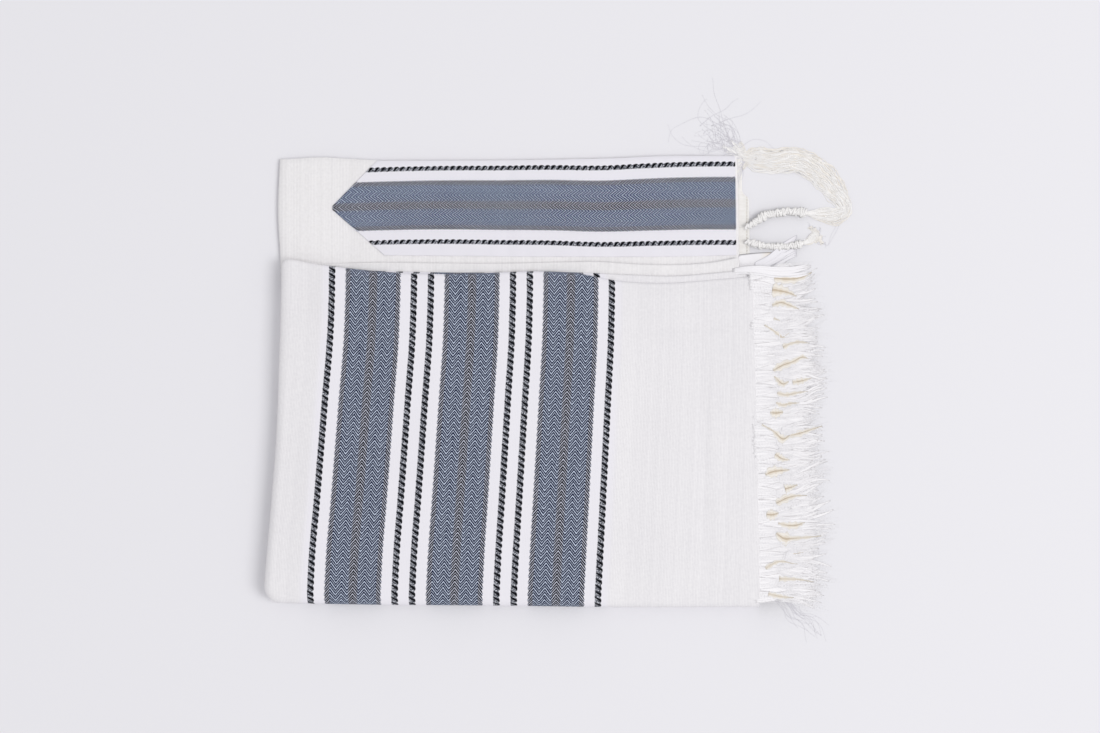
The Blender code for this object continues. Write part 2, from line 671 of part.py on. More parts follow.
def thread(shape, last, lane, row, tip):
    """One thread's stations: in its own lane beside the others, then out to its own tip."""
    across = (lane - (THREADS_ACROSS - 1) / 2) * shape.spread
    way_points = [last, *(Vector(point) for point in shape.run), tip]
    stations = []
    for turn in range(1, len(way_points) - 1):
        way = (way_points[turn + 1] - way_points[turn - 1]).normalized()
        off = across * min(turn / 2, 1.0)
        place = way_points[turn] + Vector((way.y, -way.x)) * off
        stations.append(Station(place.x, place.y, THREAD_HEIGHTS[row], THREAD_WIDE, THREAD_TALL))
    near, high = Vector(stations[-1][:2]), THREAD_HEIGHTS[row]
    for share, wide in ((0.5, 0.7 * THREAD_WIDE), (1.0, 0.3 * THREAD_WIDE)):
        place = near.lerp(tip, share)
        z = high + (TIP_HEIGHTS[row] - high) * share
        stations.append(Station(place.x, place.y, z, wide, THREAD_TALL * (0.75 - 0.35 * share)))
    return stations


def main():
    clear_scene()
    parts = bpy.data.collections.new("folded_tallit")
    helpers = bpy.data.collections.new("joined_pieces")
    helpers.hide_render = True
    for collection in (parts, helpers):
        bpy.context.scene.collection.children.link(collection)
    hidden_layers(parts, helpers)
    front_panel(parts)
    folded_bands(parts)
    back_panel(parts)
    neckband(parts)
    corner_patch(parts)
    knotted_fringe("fringe_front", FRONT_FRINGE, STRAYS, 3, parts)
    knotted_fringe("fringe_under", UNDER_FRINGE, {}, 5, parts)
    tzitzit("tzitzit_upper", UPPER_TZITZIT, parts)
    tzitzit("tzitzit_lower", LOWER_TZITZIT, parts)


main()
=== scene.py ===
# %% [markdown]
# # A folded tallit, laid flat
# A tallit is a wool prayer shawl with dark stripes, a woven band at the neck, knotted fringes along two
# edges and a corded tassel, a tzitzit, at each corner. This one is folded twice across and rolled up from
# below, so that its striped front and its neckband both show.
# The solid model holds its true shape. These cells dress it: each layer that shows becomes a thin sheet
# of cloth on its solid's form, and each fringe becomes yarns. The solids stay as the collision shape.

import math
import random
from collections import namedtuple

import bmesh
import bpy
import numpy as np
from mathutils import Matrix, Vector


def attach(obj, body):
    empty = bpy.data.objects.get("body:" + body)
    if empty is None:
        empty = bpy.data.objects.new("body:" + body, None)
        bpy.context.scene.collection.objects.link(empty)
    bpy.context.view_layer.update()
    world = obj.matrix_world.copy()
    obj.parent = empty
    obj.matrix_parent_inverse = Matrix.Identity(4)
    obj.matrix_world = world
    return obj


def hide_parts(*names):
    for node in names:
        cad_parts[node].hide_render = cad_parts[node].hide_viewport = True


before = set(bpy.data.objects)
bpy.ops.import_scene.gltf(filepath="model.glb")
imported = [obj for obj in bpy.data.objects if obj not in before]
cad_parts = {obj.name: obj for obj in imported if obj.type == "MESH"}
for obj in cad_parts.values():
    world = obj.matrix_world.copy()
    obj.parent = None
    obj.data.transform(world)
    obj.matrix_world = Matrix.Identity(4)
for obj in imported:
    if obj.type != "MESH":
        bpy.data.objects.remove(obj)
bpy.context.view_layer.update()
MM, IN_MM = 0.001, 1000.0
print("solids:", sorted(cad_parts))

# %% [markdown]
# ## Curves through short tables
# A laid cloth has no straight edge. Each edge is a short table of places, and a smooth curve runs through
# them. Reading whole arrays at once keeps the script quick, because a sheet has thousands of points.

# %% Read a table


def through(rows, at):
    """The value at each place, on a smooth curve through the table's (place, value) rows."""
    place, value = np.array(rows, float).T
    slope = np.gradient(value, place)
    at = np.clip(np.asarray(at, float), place[0], place[-1])
    i = np.clip(np.searchsorted(place, at) - 1, 0, len(place) - 2)
    step = place[i + 1] - place[i]
    t = (at - place[i]) / step
    start = (1 + 2 * t) * (1 - t) ** 2 * value[i] + t * (1 - t) ** 2 * step * slope[i]
    end = t * t * (3 - 2 * t) * value[i + 1] + t * t * (t - 1) * step * slope[i + 1]
    return start + end


def straight(rows, at):
    """The value at each place, on straight lines between the table's rows."""
    place, value = np.array(rows, float).T
    return np.interp(at, place, value)


# %% [markdown]
# ## The layers from above
# Every layer lies where its solid lies, so the same tables are used as in the solid model, in millimetres:
# left and right edges give x along y, lower and upper edges give y along x.

# %% Edges of the layers
FRONT_LEFT = (
    (-198.0, -218.4), (-186.0, -217.7), (-108.0, -211.3), (-54.0, -207.0), (31.0, -203.8),
    (110.0, -201.7),
)
FRONT_LOWER = ((-219.0, -193.6), (-177.0, -194.8), (12.0, -196.9), (78.0, -197.8), (223.0, -197.8))
FRONT_RIGHT = ((-198.0, 217.7), (-60.0, 215.4), (90.0, 211.4))
FRONT_UPPER = (
    (-202.0, 109.7), (-178.0, 104.8), (-141.0, 99.7), (-97.0, 95.9), (-63.0, 94.9),
    (63.0, 94.5), (90.0, 89.4), (141.0, 87.1), (171.0, 89.2), (219.0, 93.4),
)
THIRD_UPPER = (
    (-202.0, 107.2), (-178.0, 102.6), (-141.0, 98.8), (-97.0, 97.2), (-63.0, 96.4),
    (63.0, 96.2), (103.0, 94.4), (143.0, 93.3), (179.0, 96.0), (199.0, 98.0), (219.0, 101.0),
)
SECOND_UPPER = (
    (-202.0, 107.8), (-179.0, 105.4), (-113.0, 105.5), (-10.0, 104.7), (42.0, 105.7), (71.0, 106.3),
    (119.0, 103.7), (152.0, 103.7), (181.0, 106.3), (198.0, 109.7),
)
BACK_LEFT = ((60.0, -203.6), (110.0, -204.6), (150.0, -206.8), (196.0, -205.0))
BACK_RIGHT = ((60.0, 200.6), (120.0, 200.4), (200.0, 198.6))
BACK_UPPER = (
    (-205.0, 196.3), (-165.0, 198.5), (-143.0, 197.2), (-116.0, 195.9), (-80.0, 195.9), (-10.0, 196.1),
    (91.0, 198.1), (144.0, 200.0), (200.0, 199.7),
)
NECKBAND_LOWER = ((-160.0, 112.4), (42.0, 110.6), (166.0, 111.1), (199.0, 112.0))
NECKBAND_POINT = ((112.4, -113.1), (153.4, -159.7), (195.2, -118.9))
NECKBAND_RIGHT = ((110.0, 198.0), (200.0, 196.8))
PATCH_LEFT = ((98.0, 196.6), (202.0, 196.6))
PATCH_LOWER = ((190.0, 101.4), (212.0, 100.6))
PATCH_RIGHT = ((98.0, 210.4), (160.0, 209.6), (163.0, 209.0), (167.0, 203.6), (202.0, 203.0))
PATCH_UPPER = ((190.0, 199.2), (212.0, 198.6))
SIDES = ("left", "lower", "right", "upper")


print("front's edges:", [len(rows) for rows in (FRONT_LEFT, FRONT_LOWER, FRONT_RIGHT, FRONT_UPPER)], "places")

# %% [markdown]
# ## A layer's outline
# A place on a layer is given by its shares across and up, from 0 to 1, so that one grid fits any outline.
# The four edges are curves, so the place is found by going back and forth between them a few times.

# %% Find places on a layer
CUT_ROUNDS = 6


def level_edge(y):
    return ((-230.0, y), (230.0, y))


class Cut:
    """A layer's outline from above, with rounded corners."""

    def __init__(self, left, lower, right, upper, corners=None, read_sides=through):
        self.left = lambda y: read_sides(left, y)
        self.right = lambda y: read_sides(right, y)
        self.lower = lambda x: through(lower, x)
        self.upper = lambda x: through(upper, x)
        self.corners = corners or {}
        self.width = right[0][1] - float(self.left((lower[0][1] + upper[0][1]) / 2))
        self.height = upper[0][1] - lower[0][1]

    def rounded(self, u, w):
        """Moves places near a rounded corner, so that the edges meet in an arc."""
        for name, radius in self.corners.items():
            upper, right = "upper" in name, "right" in name
            a = (1 - u if right else u) * self.width / radius
            b = (1 - w if upper else w) * self.height / radius
            near = (a < 1) & (b < 1)
            p, q = np.where(near, 1 - a, 0.0), np.where(near, 1 - b, 0.0)
            a = np.where(near, (1 - p * np.sqrt(1 - q * q / 2)) * radius / self.width, 0.0)
            b = np.where(near, (1 - q * np.sqrt(1 - p * p / 2)) * radius / self.height, 0.0)
            u = np.where(near, 1 - a if right else a, u)
            w = np.where(near, 1 - b if upper else b, w)
        return u, w

    def place(self, u, w, inset):
        """x and y at the shares u across and w up, with each side moved in."""
        u, w = self.rounded(u, w)
        x = self.left(self.lower(0.0) + w * self.height) + u * self.width
        for _ in range(CUT_ROUNDS):
            low, high = self.lower(x) + inset[1], self.upper(x) - inset[3]
            y = low + (high - low) * w
            first, last = self.left(y) + inset[0], self.right(y) - inset[2]
            x = first + (last - first) * u
        return x, y


# %% [markdown]
# ## Soft creases
# Wool keeps faint marks of how it was folded, and it swells a little between them. Each crease is a soft
# trough with a middle, a size and a depth. A few slow waves keep the rest from being dead flat.

# %% Heights of the cloth
FRONT_TOP, BACK_TOP, SEAM = 17.6, 5.2, 0.3
FALL_FROM, FALL_TO, FALL = 60.0, 215.0, 2.0
Crease = namedtuple("Crease", "x y half_x half_y turn depth")
FRONT_CREASES = (
    Crease(152.0, 49.0, 66.0, 6.0, 2.0, 0.9),
    Crease(150.0, 57.0, 60.0, 5.0, 3.0, -0.35),
    Crease(168.0, -68.0, 5.0, 107.0, 1.0, 0.55),
    Crease(177.0, -60.0, 4.0, 90.0, 1.0, -0.25),
    Crease(-177.0, 78.0, 20.0, 24.0, 0.0, 0.9),
    Crease(-196.0, 20.0, 6.0, 70.0, 0.0, 0.4),
    Crease(-60.0, -120.0, 120.0, 30.0, 0.0, -0.5),
    Crease(40.0, -20.0, 90.0, 16.0, -8.0, 0.3),
    Crease(-80.0, 30.0, 60.0, 14.0, 6.0, 0.25),
    Crease(120.0, -150.0, 40.0, 18.0, 20.0, 0.4),
)
BACK_CREASES = (
    Crease(-4.0, 150.0, 7.0, 60.0, 0.0, 0.6),
    Crease(6.0, 150.0, 5.0, 60.0, 0.0, -0.25),
    Crease(92.0, 150.0, 22.0, 60.0, 0.0, 0.3),
    Crease(-60.0, 150.0, 30.0, 60.0, 0.0, -0.3),
    Crease(-172.0, 168.0, 16.0, 8.0, 35.0, 0.35),
)


def dented(creases, x, y):
    total = 0.0
    for c in creases:
        turn = math.radians(c.turn)
        a = (x - c.x) * math.cos(turn) + (y - c.y) * math.sin(turn)
        b = (y - c.y) * math.cos(turn) - (x - c.x) * math.sin(turn)
        total = total + c.depth * np.exp(-((a / c.half_x) ** 2) - (b / c.half_y) ** 2)
    return total


def slow_waves(x, y):
    """Three crossing waves, between 40 and 110 mm long, too low to see except in a slanting light."""
    long_wave = 0.16 * np.sin(x / 17.0 + 1.3 * np.sin(y / 31.0))
    cross_wave = 0.14 * np.sin(y / 15.0 + 1.1 * np.sin(x / 27.0) + 0.7)
    slant_wave = 0.08 * np.sin((x + 1.6 * y) / 11.0 + np.sin(x / 19.0))
    return long_wave + cross_wave + slant_wave


def fall_share(x):
    share = np.clip((x - FALL_FROM) / (FALL_TO - FALL_FROM), 0.0, 1.0)
    return share * share * (3 - 2 * share)


def front_height(x, y):
    """The front's outer face. It falls towards the fringe, where no fold holds the layers up, and it rolls
    down towards its upper edge."""
    to_edge = (through(FRONT_UPPER, x) - y) / 8.0
    rolled = 2.2 * np.exp(-to_edge * np.abs(to_edge))
    return FRONT_TOP - FALL * fall_share(x) - dented(FRONT_CREASES, x, y) + slow_waves(x, y) - rolled


def back_height(x, y):
    """The back's outer face, which rolls down a little towards its upper edge."""
    to_edge = (through(BACK_UPPER, x) - y) / 2.2
    rolled = 1.4 * np.exp(-to_edge * np.abs(to_edge))
    return BACK_TOP - dented(BACK_CREASES, x, y) + 0.6 * slow_waves(x, y) - rolled


print("front's middle lies at", round(float(front_height(0.0, -50.0)), 1), "mm")

# %% [markdown]
# ## A sheet that turns over its folds
# Each visible layer starts as a grid on its outline, fine near the edges and even between. Where the cloth
# is folded, the rim edges are extruded again and again round the fold, which is how the real cloth turns.
# Two numbers go with every point, how far across and how far along the cloth it lies, so that stripes and
# weave run over a fold as woven cloth does. They become the piece's UV map.

# %% Turn a rim over its fold
Fold = namedtuple("Fold", "reach lands turn")  # millimetres out, height of the end, degrees
FOLD_STEPS = 12


def fold_towards(out, folds):
    """The fold where the rim faces this way: a side's own, eased into the next round a corner."""
    sideways = folds.get("left" if out.x < 0 else "right")
    endways = folds.get("lower" if out.y < 0 else "upper")
    if sideways is None or endways is None:
        return sideways or endways
    share = out.x * out.x
    return Fold(*(a * share + b * (1 - share) for a, b in zip(sideways, endways)))


def turn_over(bm, rim, folds, across, along):
    edges = [e for e in bm.edges if e.is_boundary and rim[e.verts[0]] & rim[e.verts[1]]]
    outward = {vert: Vector() for edge in edges for vert in edge.verts}
    for edge in edges:
        run = edge.verts[1].co - edge.verts[0].co
        normal = Vector((run.y, -run.x, 0.0)).normalized()
        if normal.dot(edge.verts[0].co - edge.link_faces[0].calc_center_median()) < 0:
            normal.negate()
        for vert in edge.verts:
            outward[vert] += normal
    base = {v: (v.co.copy(), out.normalized(), v[across], v[along]) for v, out in outward.items()}
    for step in range(1, FOLD_STEPS + 1):
        made = bmesh.ops.extrude_edge_only(bm, edges=edges)["geom"]
        edges = [item for item in made if isinstance(item, bmesh.types.BMEdge)]
        fresh = {}
        for vert in (item for item in made if isinstance(item, bmesh.types.BMVert)):
            old = next(e.other_vert(vert) for e in vert.link_edges if e.other_vert(vert) in base)
            start, out, s, t = base[old]
            fold = fold_towards(out, folds)
            turn = math.radians(fold.turn)
            angle = turn * step / FOLD_STEPS
            down = (start.z - fold.lands * MM) * (1 - math.cos(angle)) / (1 - math.cos(turn))
            vert.co = start + out * fold.reach * MM * math.sin(angle) - Vector((0.0, 0.0, down))
            gone = (vert.co - old.co).length / MM
            vert[across], vert[along] = old[across] + out.x * gone, old[along] + out.y * gone
            fresh[vert] = (start, out, s, t)
        base = fresh


# %% [markdown]
# ## Lay a sheet
# The grid's columns and rows lie close together near the edges, where the cloth turns, and a few
# millimetres apart between them. Each point takes its height from the layer's own height function.

# %% Lay a sheet
CELL, NARROW_CELL = 3.2, 1.6
NEAR_EDGE = np.array((0.0, 0.6, 1.3, 2.2, 3.4, 5.0))


def faces_up(bm):
    """A sheet's normals are set before it gets its thickness, so that the wall grows downwards."""
    bmesh.ops.recalc_face_normals(bm, faces=bm.faces)
    middle = min(bm.faces, key=lambda face: face.calc_center_median().xy.length)
    if middle.normal.z < 0:
        bmesh.ops.reverse_faces(bm, faces=bm.faces)


def spaced(length, cell):
    """Shares along a side: fine near both ends, where the cloth turns, and even between."""
    start = NEAR_EDGE[-1] + 2.2
    if length < 3 * start:
        return np.linspace(0.0, 1.0, max(round(length / NARROW_CELL), 2) + 1)
    inner = np.linspace(start, length - start, max(round((length - 2 * start) / cell), 1) + 1)
    return np.concatenate([NEAR_EDGE, inner, length - NEAR_EDGE[::-1]]) / length


def lay(cut, height, folds=None, cloth_place=None):
    """A bmesh of the sheet, with its rim turned over the folds."""
    folds = folds or {}
    columns, rows = spaced(cut.width, CELL), spaced(cut.height, CELL)
    inset = [folds[side].reach if side in folds else 0.0 for side in SIDES]
    bm = bmesh.new()
    across = bm.verts.layers.float.new("across")
    along = bm.verts.layers.float.new("along")
    bmesh.ops.create_grid(bm, x_segments=len(columns) - 1, y_segments=len(rows) - 1, size=1.0)
    grid = np.array([vert.co.xy for vert in bm.verts])
    i = np.rint((grid[:, 0] + 1) / 2 * (len(columns) - 1)).astype(int)
    j = np.rint((grid[:, 1] + 1) / 2 * (len(rows) - 1)).astype(int)
    x, y = cut.place(columns[i], rows[j], inset)
    z = height(x, y)
    s, t = cloth_place(x, y) if cloth_place else (x, y)
    rim = {}
    lies_on = {"left": i == 0, "lower": j == 0, "right": i == i.max(), "upper": j == j.max()}
    for number, vert in enumerate(bm.verts):
        vert.co = Vector((x[number], y[number], z[number])) * MM
        vert[across], vert[along] = s[number], t[number]
        rim[vert] = {side for side in folds if lies_on[side][number]}
    if folds:
        turn_over(bm, rim, folds, across, along)
    faces_up(bm)
    return bm


# %% [markdown]
# ## Finishing a piece
# Every sheet gets the same last steps: the two cloth numbers become a UV map, a Solidify modifier gives
# the cloth its real thickness under the laid face, and the piece rides on the model and stands for its
# solid. Yarns take the last of these steps too.

# %% Turn a bmesh into a piece
WOOL, BAND_CLOTH = 0.9, 0.75  # thickness in millimetres


def as_piece(bm, name, material, slot, *nodes):
    """Writes a sheet's mesh with its UV map, in metres of cloth, and makes it a piece."""
    across, along = bm.verts.layers.float["across"], bm.verts.layers.float["along"]
    uv = bm.loops.layers.uv.new("cloth")
    for face in bm.faces:
        for loop in face.loops:
            loop[uv].uv = (loop.vert[across] * MM, loop.vert[along] * MM)
    mesh = bpy.data.meshes.new(name)
    bm.to_mesh(mesh)
    bm.free()
    mesh.shade_smooth()
    return dress(mesh, name, material, slot, *nodes)


def dress(mesh, name, material, slot, *nodes):
    """A piece of the model: it rides on the root and stands for its solid."""
    piece = bpy.data.objects.new(name, mesh)
    bpy.context.scene.collection.objects.link(piece)
    mesh.materials.append(material)
    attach(piece, "root")
    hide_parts(*nodes)
    print(name, len(mesh.polygons), "faces")
    return piece


def weightless(piece):
    """Fine threads let the light through, so they neither cast a shadow nor dim what they lie on."""
    piece.visible_shadow = False
    piece.visible_diffuse = False


def thicken(piece, wall):
    shell = piece.modifiers.new("cloth thickness", "SOLIDIFY")
    shell.thickness = wall * MM
    shell.offset = -1.0
    shell.use_even_offset = True


# %% [markdown]
# ## Writing shaders as sums
# The weave is drawn by arithmetic on the two cloth numbers. A small helper makes that readable: adding or
# multiplying two fields adds a Math node, so a pattern is written as a formula and ends up as plain nodes
# that anyone can open and change.

# %% Fields: numbers that change over a surface


class Field:
    """A socket that holds a number or a colour, with arithmetic that adds nodes to its tree."""

    def __init__(self, tree, socket):
        self.tree, self.socket = tree, socket

    def into(self, socket):
        self.tree.links.new(self.socket, socket)

    def math(self, operation, *others):
        node = self.tree.nodes.new("ShaderNodeMath")
        node.operation = operation
        for socket, value in zip(node.inputs, (self, *others)):
            put(value, socket)
        return Field(self.tree, node.outputs[0])

    def __add__(self, other):
        return self.math("ADD", other)

    def __sub__(self, other):
        return self.math("SUBTRACT", other)

    def __mul__(self, other):
        return self.math("MULTIPLY", other)

    def __truediv__(self, other):
        return self.math("DIVIDE", other)

    def __abs__(self):
        return self.math("ABSOLUTE")

    def beyond(self, distance):
        """How far past a distance the field lies, on either side of zero, keeping its direction."""
        return (abs(self) - distance) * self.math("SIGN")

    def rest(self):
        """The share left over: one minus the field."""
        node = self.math("MULTIPLY", -1.0)
        return node + 1.0

    def fract(self):
        return self.math("FRACT")

    def about_zero(self, span):
        """Wraps the field to half a span either side of zero."""
        half = span * 0.5
        return self.math("WRAP", half, half * -1.0)

    def wave(self):
        """A sine wave of the field counted in turns, from -1 to 1."""
        return (self * (2 * math.pi)).math("SINE")

    def rises(self, low, high):
        """0 below low and 1 above high, with a soft step between."""
        node = self.tree.nodes.new("ShaderNodeMapRange")
        node.interpolation_type = "SMOOTHSTEP"
        for socket, value in zip(node.inputs[:3], (self, low, high)):
            put(value, socket)
        return Field(self.tree, node.outputs[0])

    def falls(self, low, high):
        return self.rises(low, high).rest()


# %% [markdown]
# ## Helpers for node trees
# The same few nodes turn up in every material: a colour mix, a noise, the piece's own coordinates and its
# UV map. One function makes each. A node group keeps a pattern in one place for the materials that share it.

# %% Mixes, textures and groups


def put(value, socket):
    """Links a field to a socket, or sets the socket's own value."""
    if isinstance(value, Field):
        value.into(socket)
    else:
        socket.default_value = value


def blend(share, first, second):
    """A colour that goes from the first to the second as the share goes from 0 to 1."""
    node = share.tree.nodes.new("ShaderNodeMix")
    node.data_type = "RGBA"
    put(share, node.inputs["Factor"])
    put(first, node.inputs["A"])
    put(second, node.inputs["B"])
    return Field(share.tree, node.outputs["Result"])


def noise(tree, vector, scale, detail=2.0):
    node = tree.nodes.new("ShaderNodeTexNoise")
    node.inputs["Scale"].default_value = scale
    node.inputs["Detail"].default_value = detail
    put(vector, node.inputs["Vector"])
    return Field(tree, node.outputs["Fac"])


def object_place(tree):
    return Field(tree, tree.nodes.new("ShaderNodeTexCoord").outputs["Object"])


def split(vector):
    """The three parts of a vector field."""
    node = vector.tree.nodes.new("ShaderNodeSeparateXYZ")
    put(vector, node.inputs[0])
    return [Field(vector.tree, node.outputs[axis]) for axis in "XYZ"]


def cloth_numbers(tree, uv_name="cloth"):
    """Across and along the cloth in millimetres, from the piece's UV map."""
    uv = tree.nodes.new("ShaderNodeUVMap")
    uv.uv_map = uv_name
    return [part * IN_MM for part in split(Field(tree, uv.outputs["UV"]))[:2]]


def srgb(red, green, blue):
    """A colour given as a screen shows it, from 0 to 255, in the linear values that shaders use."""
    def linear(value):
        value = value / 255
        return value / 12.92 if value <= 0.04045 else ((value + 0.055) / 1.055) ** 2.4
    return (linear(red), linear(green), linear(blue), 1.0)


def shader_group(name, inputs, outputs):
    """An empty node group and its input fields. inputs gives each a default: a number or a colour."""
    tree = bpy.data.node_groups.new(name, "ShaderNodeTree")
    for label, value in inputs.items():
        kind = "NodeSocketColor" if isinstance(value, tuple) else "NodeSocketFloat"
        tree.interface.new_socket(label, in_out="INPUT", socket_type=kind).default_value = value
    for label, kind in outputs.items():
        tree.interface.new_socket(label, in_out="OUTPUT", socket_type=kind)
    inside = tree.nodes.new("NodeGroupInput")
    outside = tree.nodes.new("NodeGroupOutput")
    return tree, [Field(tree, inside.outputs[label]) for label in inputs], outside.inputs


def use_group(tree, group, **values):
    """Places a group in a material. An input's name is written with _ for each space."""
    node = tree.nodes.new("ShaderNodeGroup")
    node.node_tree = group
    for label, value in values.items():
        put(value, node.inputs[label.replace("_", " ")])
    return {socket.name: Field(tree, socket) for socket in node.outputs}


# %% [markdown]
# ## The ground weave
# The body of the shawl is plain-woven wool: ribs of warp a little over a millimetre apart, crossed by
# finer weft. Real threads are uneven, so the ribs wander slightly and vary in tone from one to the next.
# Each rib's crest is also painted a little lighter than the hollows beside it: painted shade of the weave.

# %% Group: plain weave


def make_plain_weave():
    tree, fields, out = shader_group(
        "plain weave",
        {"Across": 0.0, "Along": 0.0, "Rib": 1.35, "Pick": 0.95},
        {"Height": "NodeSocketFloat", "Tone": "NodeSocketFloat"},
    )
    across, along, rib, pick = fields
    place = object_place(tree)
    drift = (noise(tree, place, 90.0) - 0.5) * 0.9
    ribs = ((across + drift) / rib * 0.5).wave()
    picks = ((along + drift) / pick * 0.5).wave()
    rib_number = ((across + drift) / rib).math("FLOOR")
    uneven = (rib_number * 12.9898).math("SINE") * 43758.5453
    slub = noise(tree, place, 420.0, 3.0)
    height = abs(ribs) * 0.6 + abs(picks) * 0.35 + slub * 0.5
    height.into(out["Height"])
    tone = (uneven.fract() - 0.5) * 0.35 + (slub - 0.5) * 1.1 + (noise(tree, place, 14.0) - 0.5) * 0.5
    # Tone is the threads' own uneven tone plus painted shade: lighter on the ribs' crests, darker between
    # them.
    (tone + (abs(ribs) - 0.6) * 0.45 + 0.5).into(out["Tone"])
    return tree


plain_weave = make_plain_weave()
print("plain weave:", len(plain_weave.nodes), "nodes")

# %% [markdown]
# ## The herringbone stripe
# Each wide stripe is a herringbone twill: the threads climb in zigzags, five columns wide, with blue yarn
# in most columns, black yarn at both edges and down the middle, and light weft showing between them. The
# distance from the nearest column's middle bends straight lines into chevrons. Two light lines show in
# each repeat, one broader than the other.

# %% Group: herringbone stripe


def make_herringbone():
    tree, fields, out = shader_group(
        "herringbone stripe",
        {
            "Across": 0.0, "Along": 0.0, "Half Width": 24.0, "Column": 9.7, "Period": 5.37,
            "Yarn": srgb(3, 13, 52), "Edge Yarn": srgb(1, 2, 9), "Weft": srgb(224, 236, 255),
            "Edge Weft": srgb(232, 235, 252),
        },
        {"Colour": "NodeSocketColor", "Mask": "NodeSocketFloat", "Height": "NodeSocketFloat"},
    )
    across, along, half_width, column, period, yarn, edge_yarn, weft, edge_weft = fields
    place = object_place(tree)
    loose = (noise(tree, place, 260.0) - 0.5) * 1.1
    from_apex = abs(across.about_zero(column))
    turns = (along + from_apex * 1.3 + loose) / period
    flecks = noise(tree, place, 850.0, 2.0)
    broad = abs(turns.fract() - 0.5).falls(0.045, 0.115)
    fine = abs((turns + 0.5).fract() - 0.5).falls(0.02, 0.09)
    valley = (from_apex / column).rises(0.3, 0.5)
    dashes = abs((across / 1.2).fract() - 0.5).rises(0.1, 0.4)
    light = broad * (dashes * 0.2 + 0.95) + fine * (dashes * 0.3 + 0.7) + valley * 0.03
    light = light * (flecks * 2.4 - 0.15) + flecks.rises(0.56, 0.8) * 0.3
    light = light.math("MAXIMUM", 0.0).math("MINIMUM", 1.0)
    at_edge = abs(across).rises(half_width - 4.6, half_width - 3.6)
    at_middle = abs(across).falls(2.8, 4.4)
    black = at_edge.math("MAXIMUM", at_middle)
    light = light * (black * -0.1 + 1.0)
    blend(light, blend(black, yarn, edge_yarn), blend(black, weft, edge_weft)).into(out["Colour"])
    teeth = (turns + 0.2).wave() * 0.5
    (abs(across) + teeth).falls(half_width - 0.35, half_width + 0.35).into(out["Mask"])
    (light * 0.7 + dashes * 0.3 + 0.4).into(out["Height"])
    return tree


herringbone = make_herringbone()
print("herringbone:", len(herringbone.nodes), "nodes")

# %% [markdown]
# ## The corded stripes
# Beside each wide stripe runs a narrow one that looks like a black cord laid on the cloth: a twisted float
# of black, grey and white yarns. Its slanting turns bulge at one side, which scallops its edge.

# %% Group: corded stripe


def make_corded_stripe():
    tree, fields, out = shader_group(
        "corded stripe",
        {
            "Across": 0.0, "Along": 0.0, "Half Width": 2.85, "Period": 5.35,
            "Dark": srgb(6, 7, 13), "Middle": srgb(62, 64, 74), "Light": srgb(204, 206, 214),
        },
        {"Colour": "NodeSocketColor", "Mask": "NodeSocketFloat", "Height": "NodeSocketFloat"},
    )
    across, along, half_width, period, dark, middle, light = fields
    place = object_place(tree)
    loose = (noise(tree, place, 330.0) - 0.5) * 1.6
    flecks = noise(tree, place, 950.0, 1.0)
    turns = (along + across * 0.62 + loose) / period
    beside = abs(turns.fract() - 0.5)
    outward = (across / half_width + 1.0) * 0.5
    float_width = outward * 0.17 + 0.1
    float_yarn = (float_width - beside + (flecks - 0.5) * 0.5).rises(-0.04, 0.05)
    tail = abs((turns + 0.42).fract() - 0.5).falls(0.03, 0.1) * (flecks + 0.1)
    grey = blend((flecks + beside * 0.12).rises(0.44, 0.68), middle, light)
    blend(float_yarn.math("MAXIMUM", tail), grey, dark).into(out["Colour"])
    bulge = (beside * 2.1).math("POWER", 2.0).rest().math("MAXIMUM", 0.0) * 0.95
    inner = (across + half_width + (flecks - 0.5) * 1.6).rises(-0.3, 0.3)
    outer = (across - bulge).falls(half_width - 1.15, half_width - 0.65)
    (inner * outer).into(out["Mask"])
    round_body = (across / half_width).math("POWER", 2.0).rest().math("MAXIMUM", 0.0)
    (round_body * 1.2 + float_yarn * 0.8).into(out["Height"])
    return tree


corded_stripe = make_corded_stripe()
print("corded stripe:", len(corded_stripe.nodes), "nodes")

# %% [markdown]
# ## The cloth materials
# The striped wool repeats one unit three times: cord, herringbone, cord, with white satin between them.
# Wrapping the distance across the cloth to one repeat lets a single herringbone and a single cord draw all
# nine stripes. Wool is matt with a soft nap, so the sheen is low and broad.

# %% Striped wool and plain wool
REPEAT = 86.65
CORD_AT = 35.9
LAST_CORD = REPEAT + CORD_AT
# The plain wool and the striped wool's ground are one cloth, given slightly different colours: the plain a
# little brighter and warmer, the striped a little darker and cooler. The difference is painted light and
# shade.
GROUND_LIGHT, GROUND_SHADE = srgb(243, 241, 242), srgb(230, 228, 229)
STRIPED_LIGHT, STRIPED_SHADE = srgb(240, 238, 240), srgb(227, 225, 228)
SATIN = srgb(235, 233, 240)
WEAVE_DEPTH, WIDE_RISE, CORD_RISE = 0.16, 1.6, 2.0  # millimetres, and how much higher the stripes stand


def new_material(name, roughness, sheen):
    made = bpy.data.materials.new(name)
    made.use_nodes = True
    shader = made.node_tree.nodes["Principled BSDF"]
    shader.inputs["Roughness"].default_value = roughness
    shader.inputs["Specular IOR Level"].default_value = 0.12
    shader.inputs["Sheen Weight"].default_value = sheen
    shader.inputs["Sheen Roughness"].default_value = 0.6
    return made, made.node_tree, shader


def raise_by(height, depth, shader, base=None):
    """Feeds a height field to the shader's normal, with its depth in millimetres."""
    bump = height.tree.nodes.new("ShaderNodeBump")
    if base:
        base.into(bump.inputs["Normal"])
    bump.inputs["Distance"].default_value = depth * MM
    height.into(bump.inputs["Height"])
    height.tree.links.new(bump.outputs["Normal"], shader.inputs["Normal"])


def woven(name, roughness, sheen, **gauge):
    """A new material with the plain weave in it, and the two cloth numbers that a pattern is drawn on."""
    made, tree, shader = new_material(name, roughness, sheen)
    across, along = cloth_numbers(tree)
    weave = use_group(tree, plain_weave, Across=across, Along=along, **gauge)
    return made, tree, shader, across, along, weave


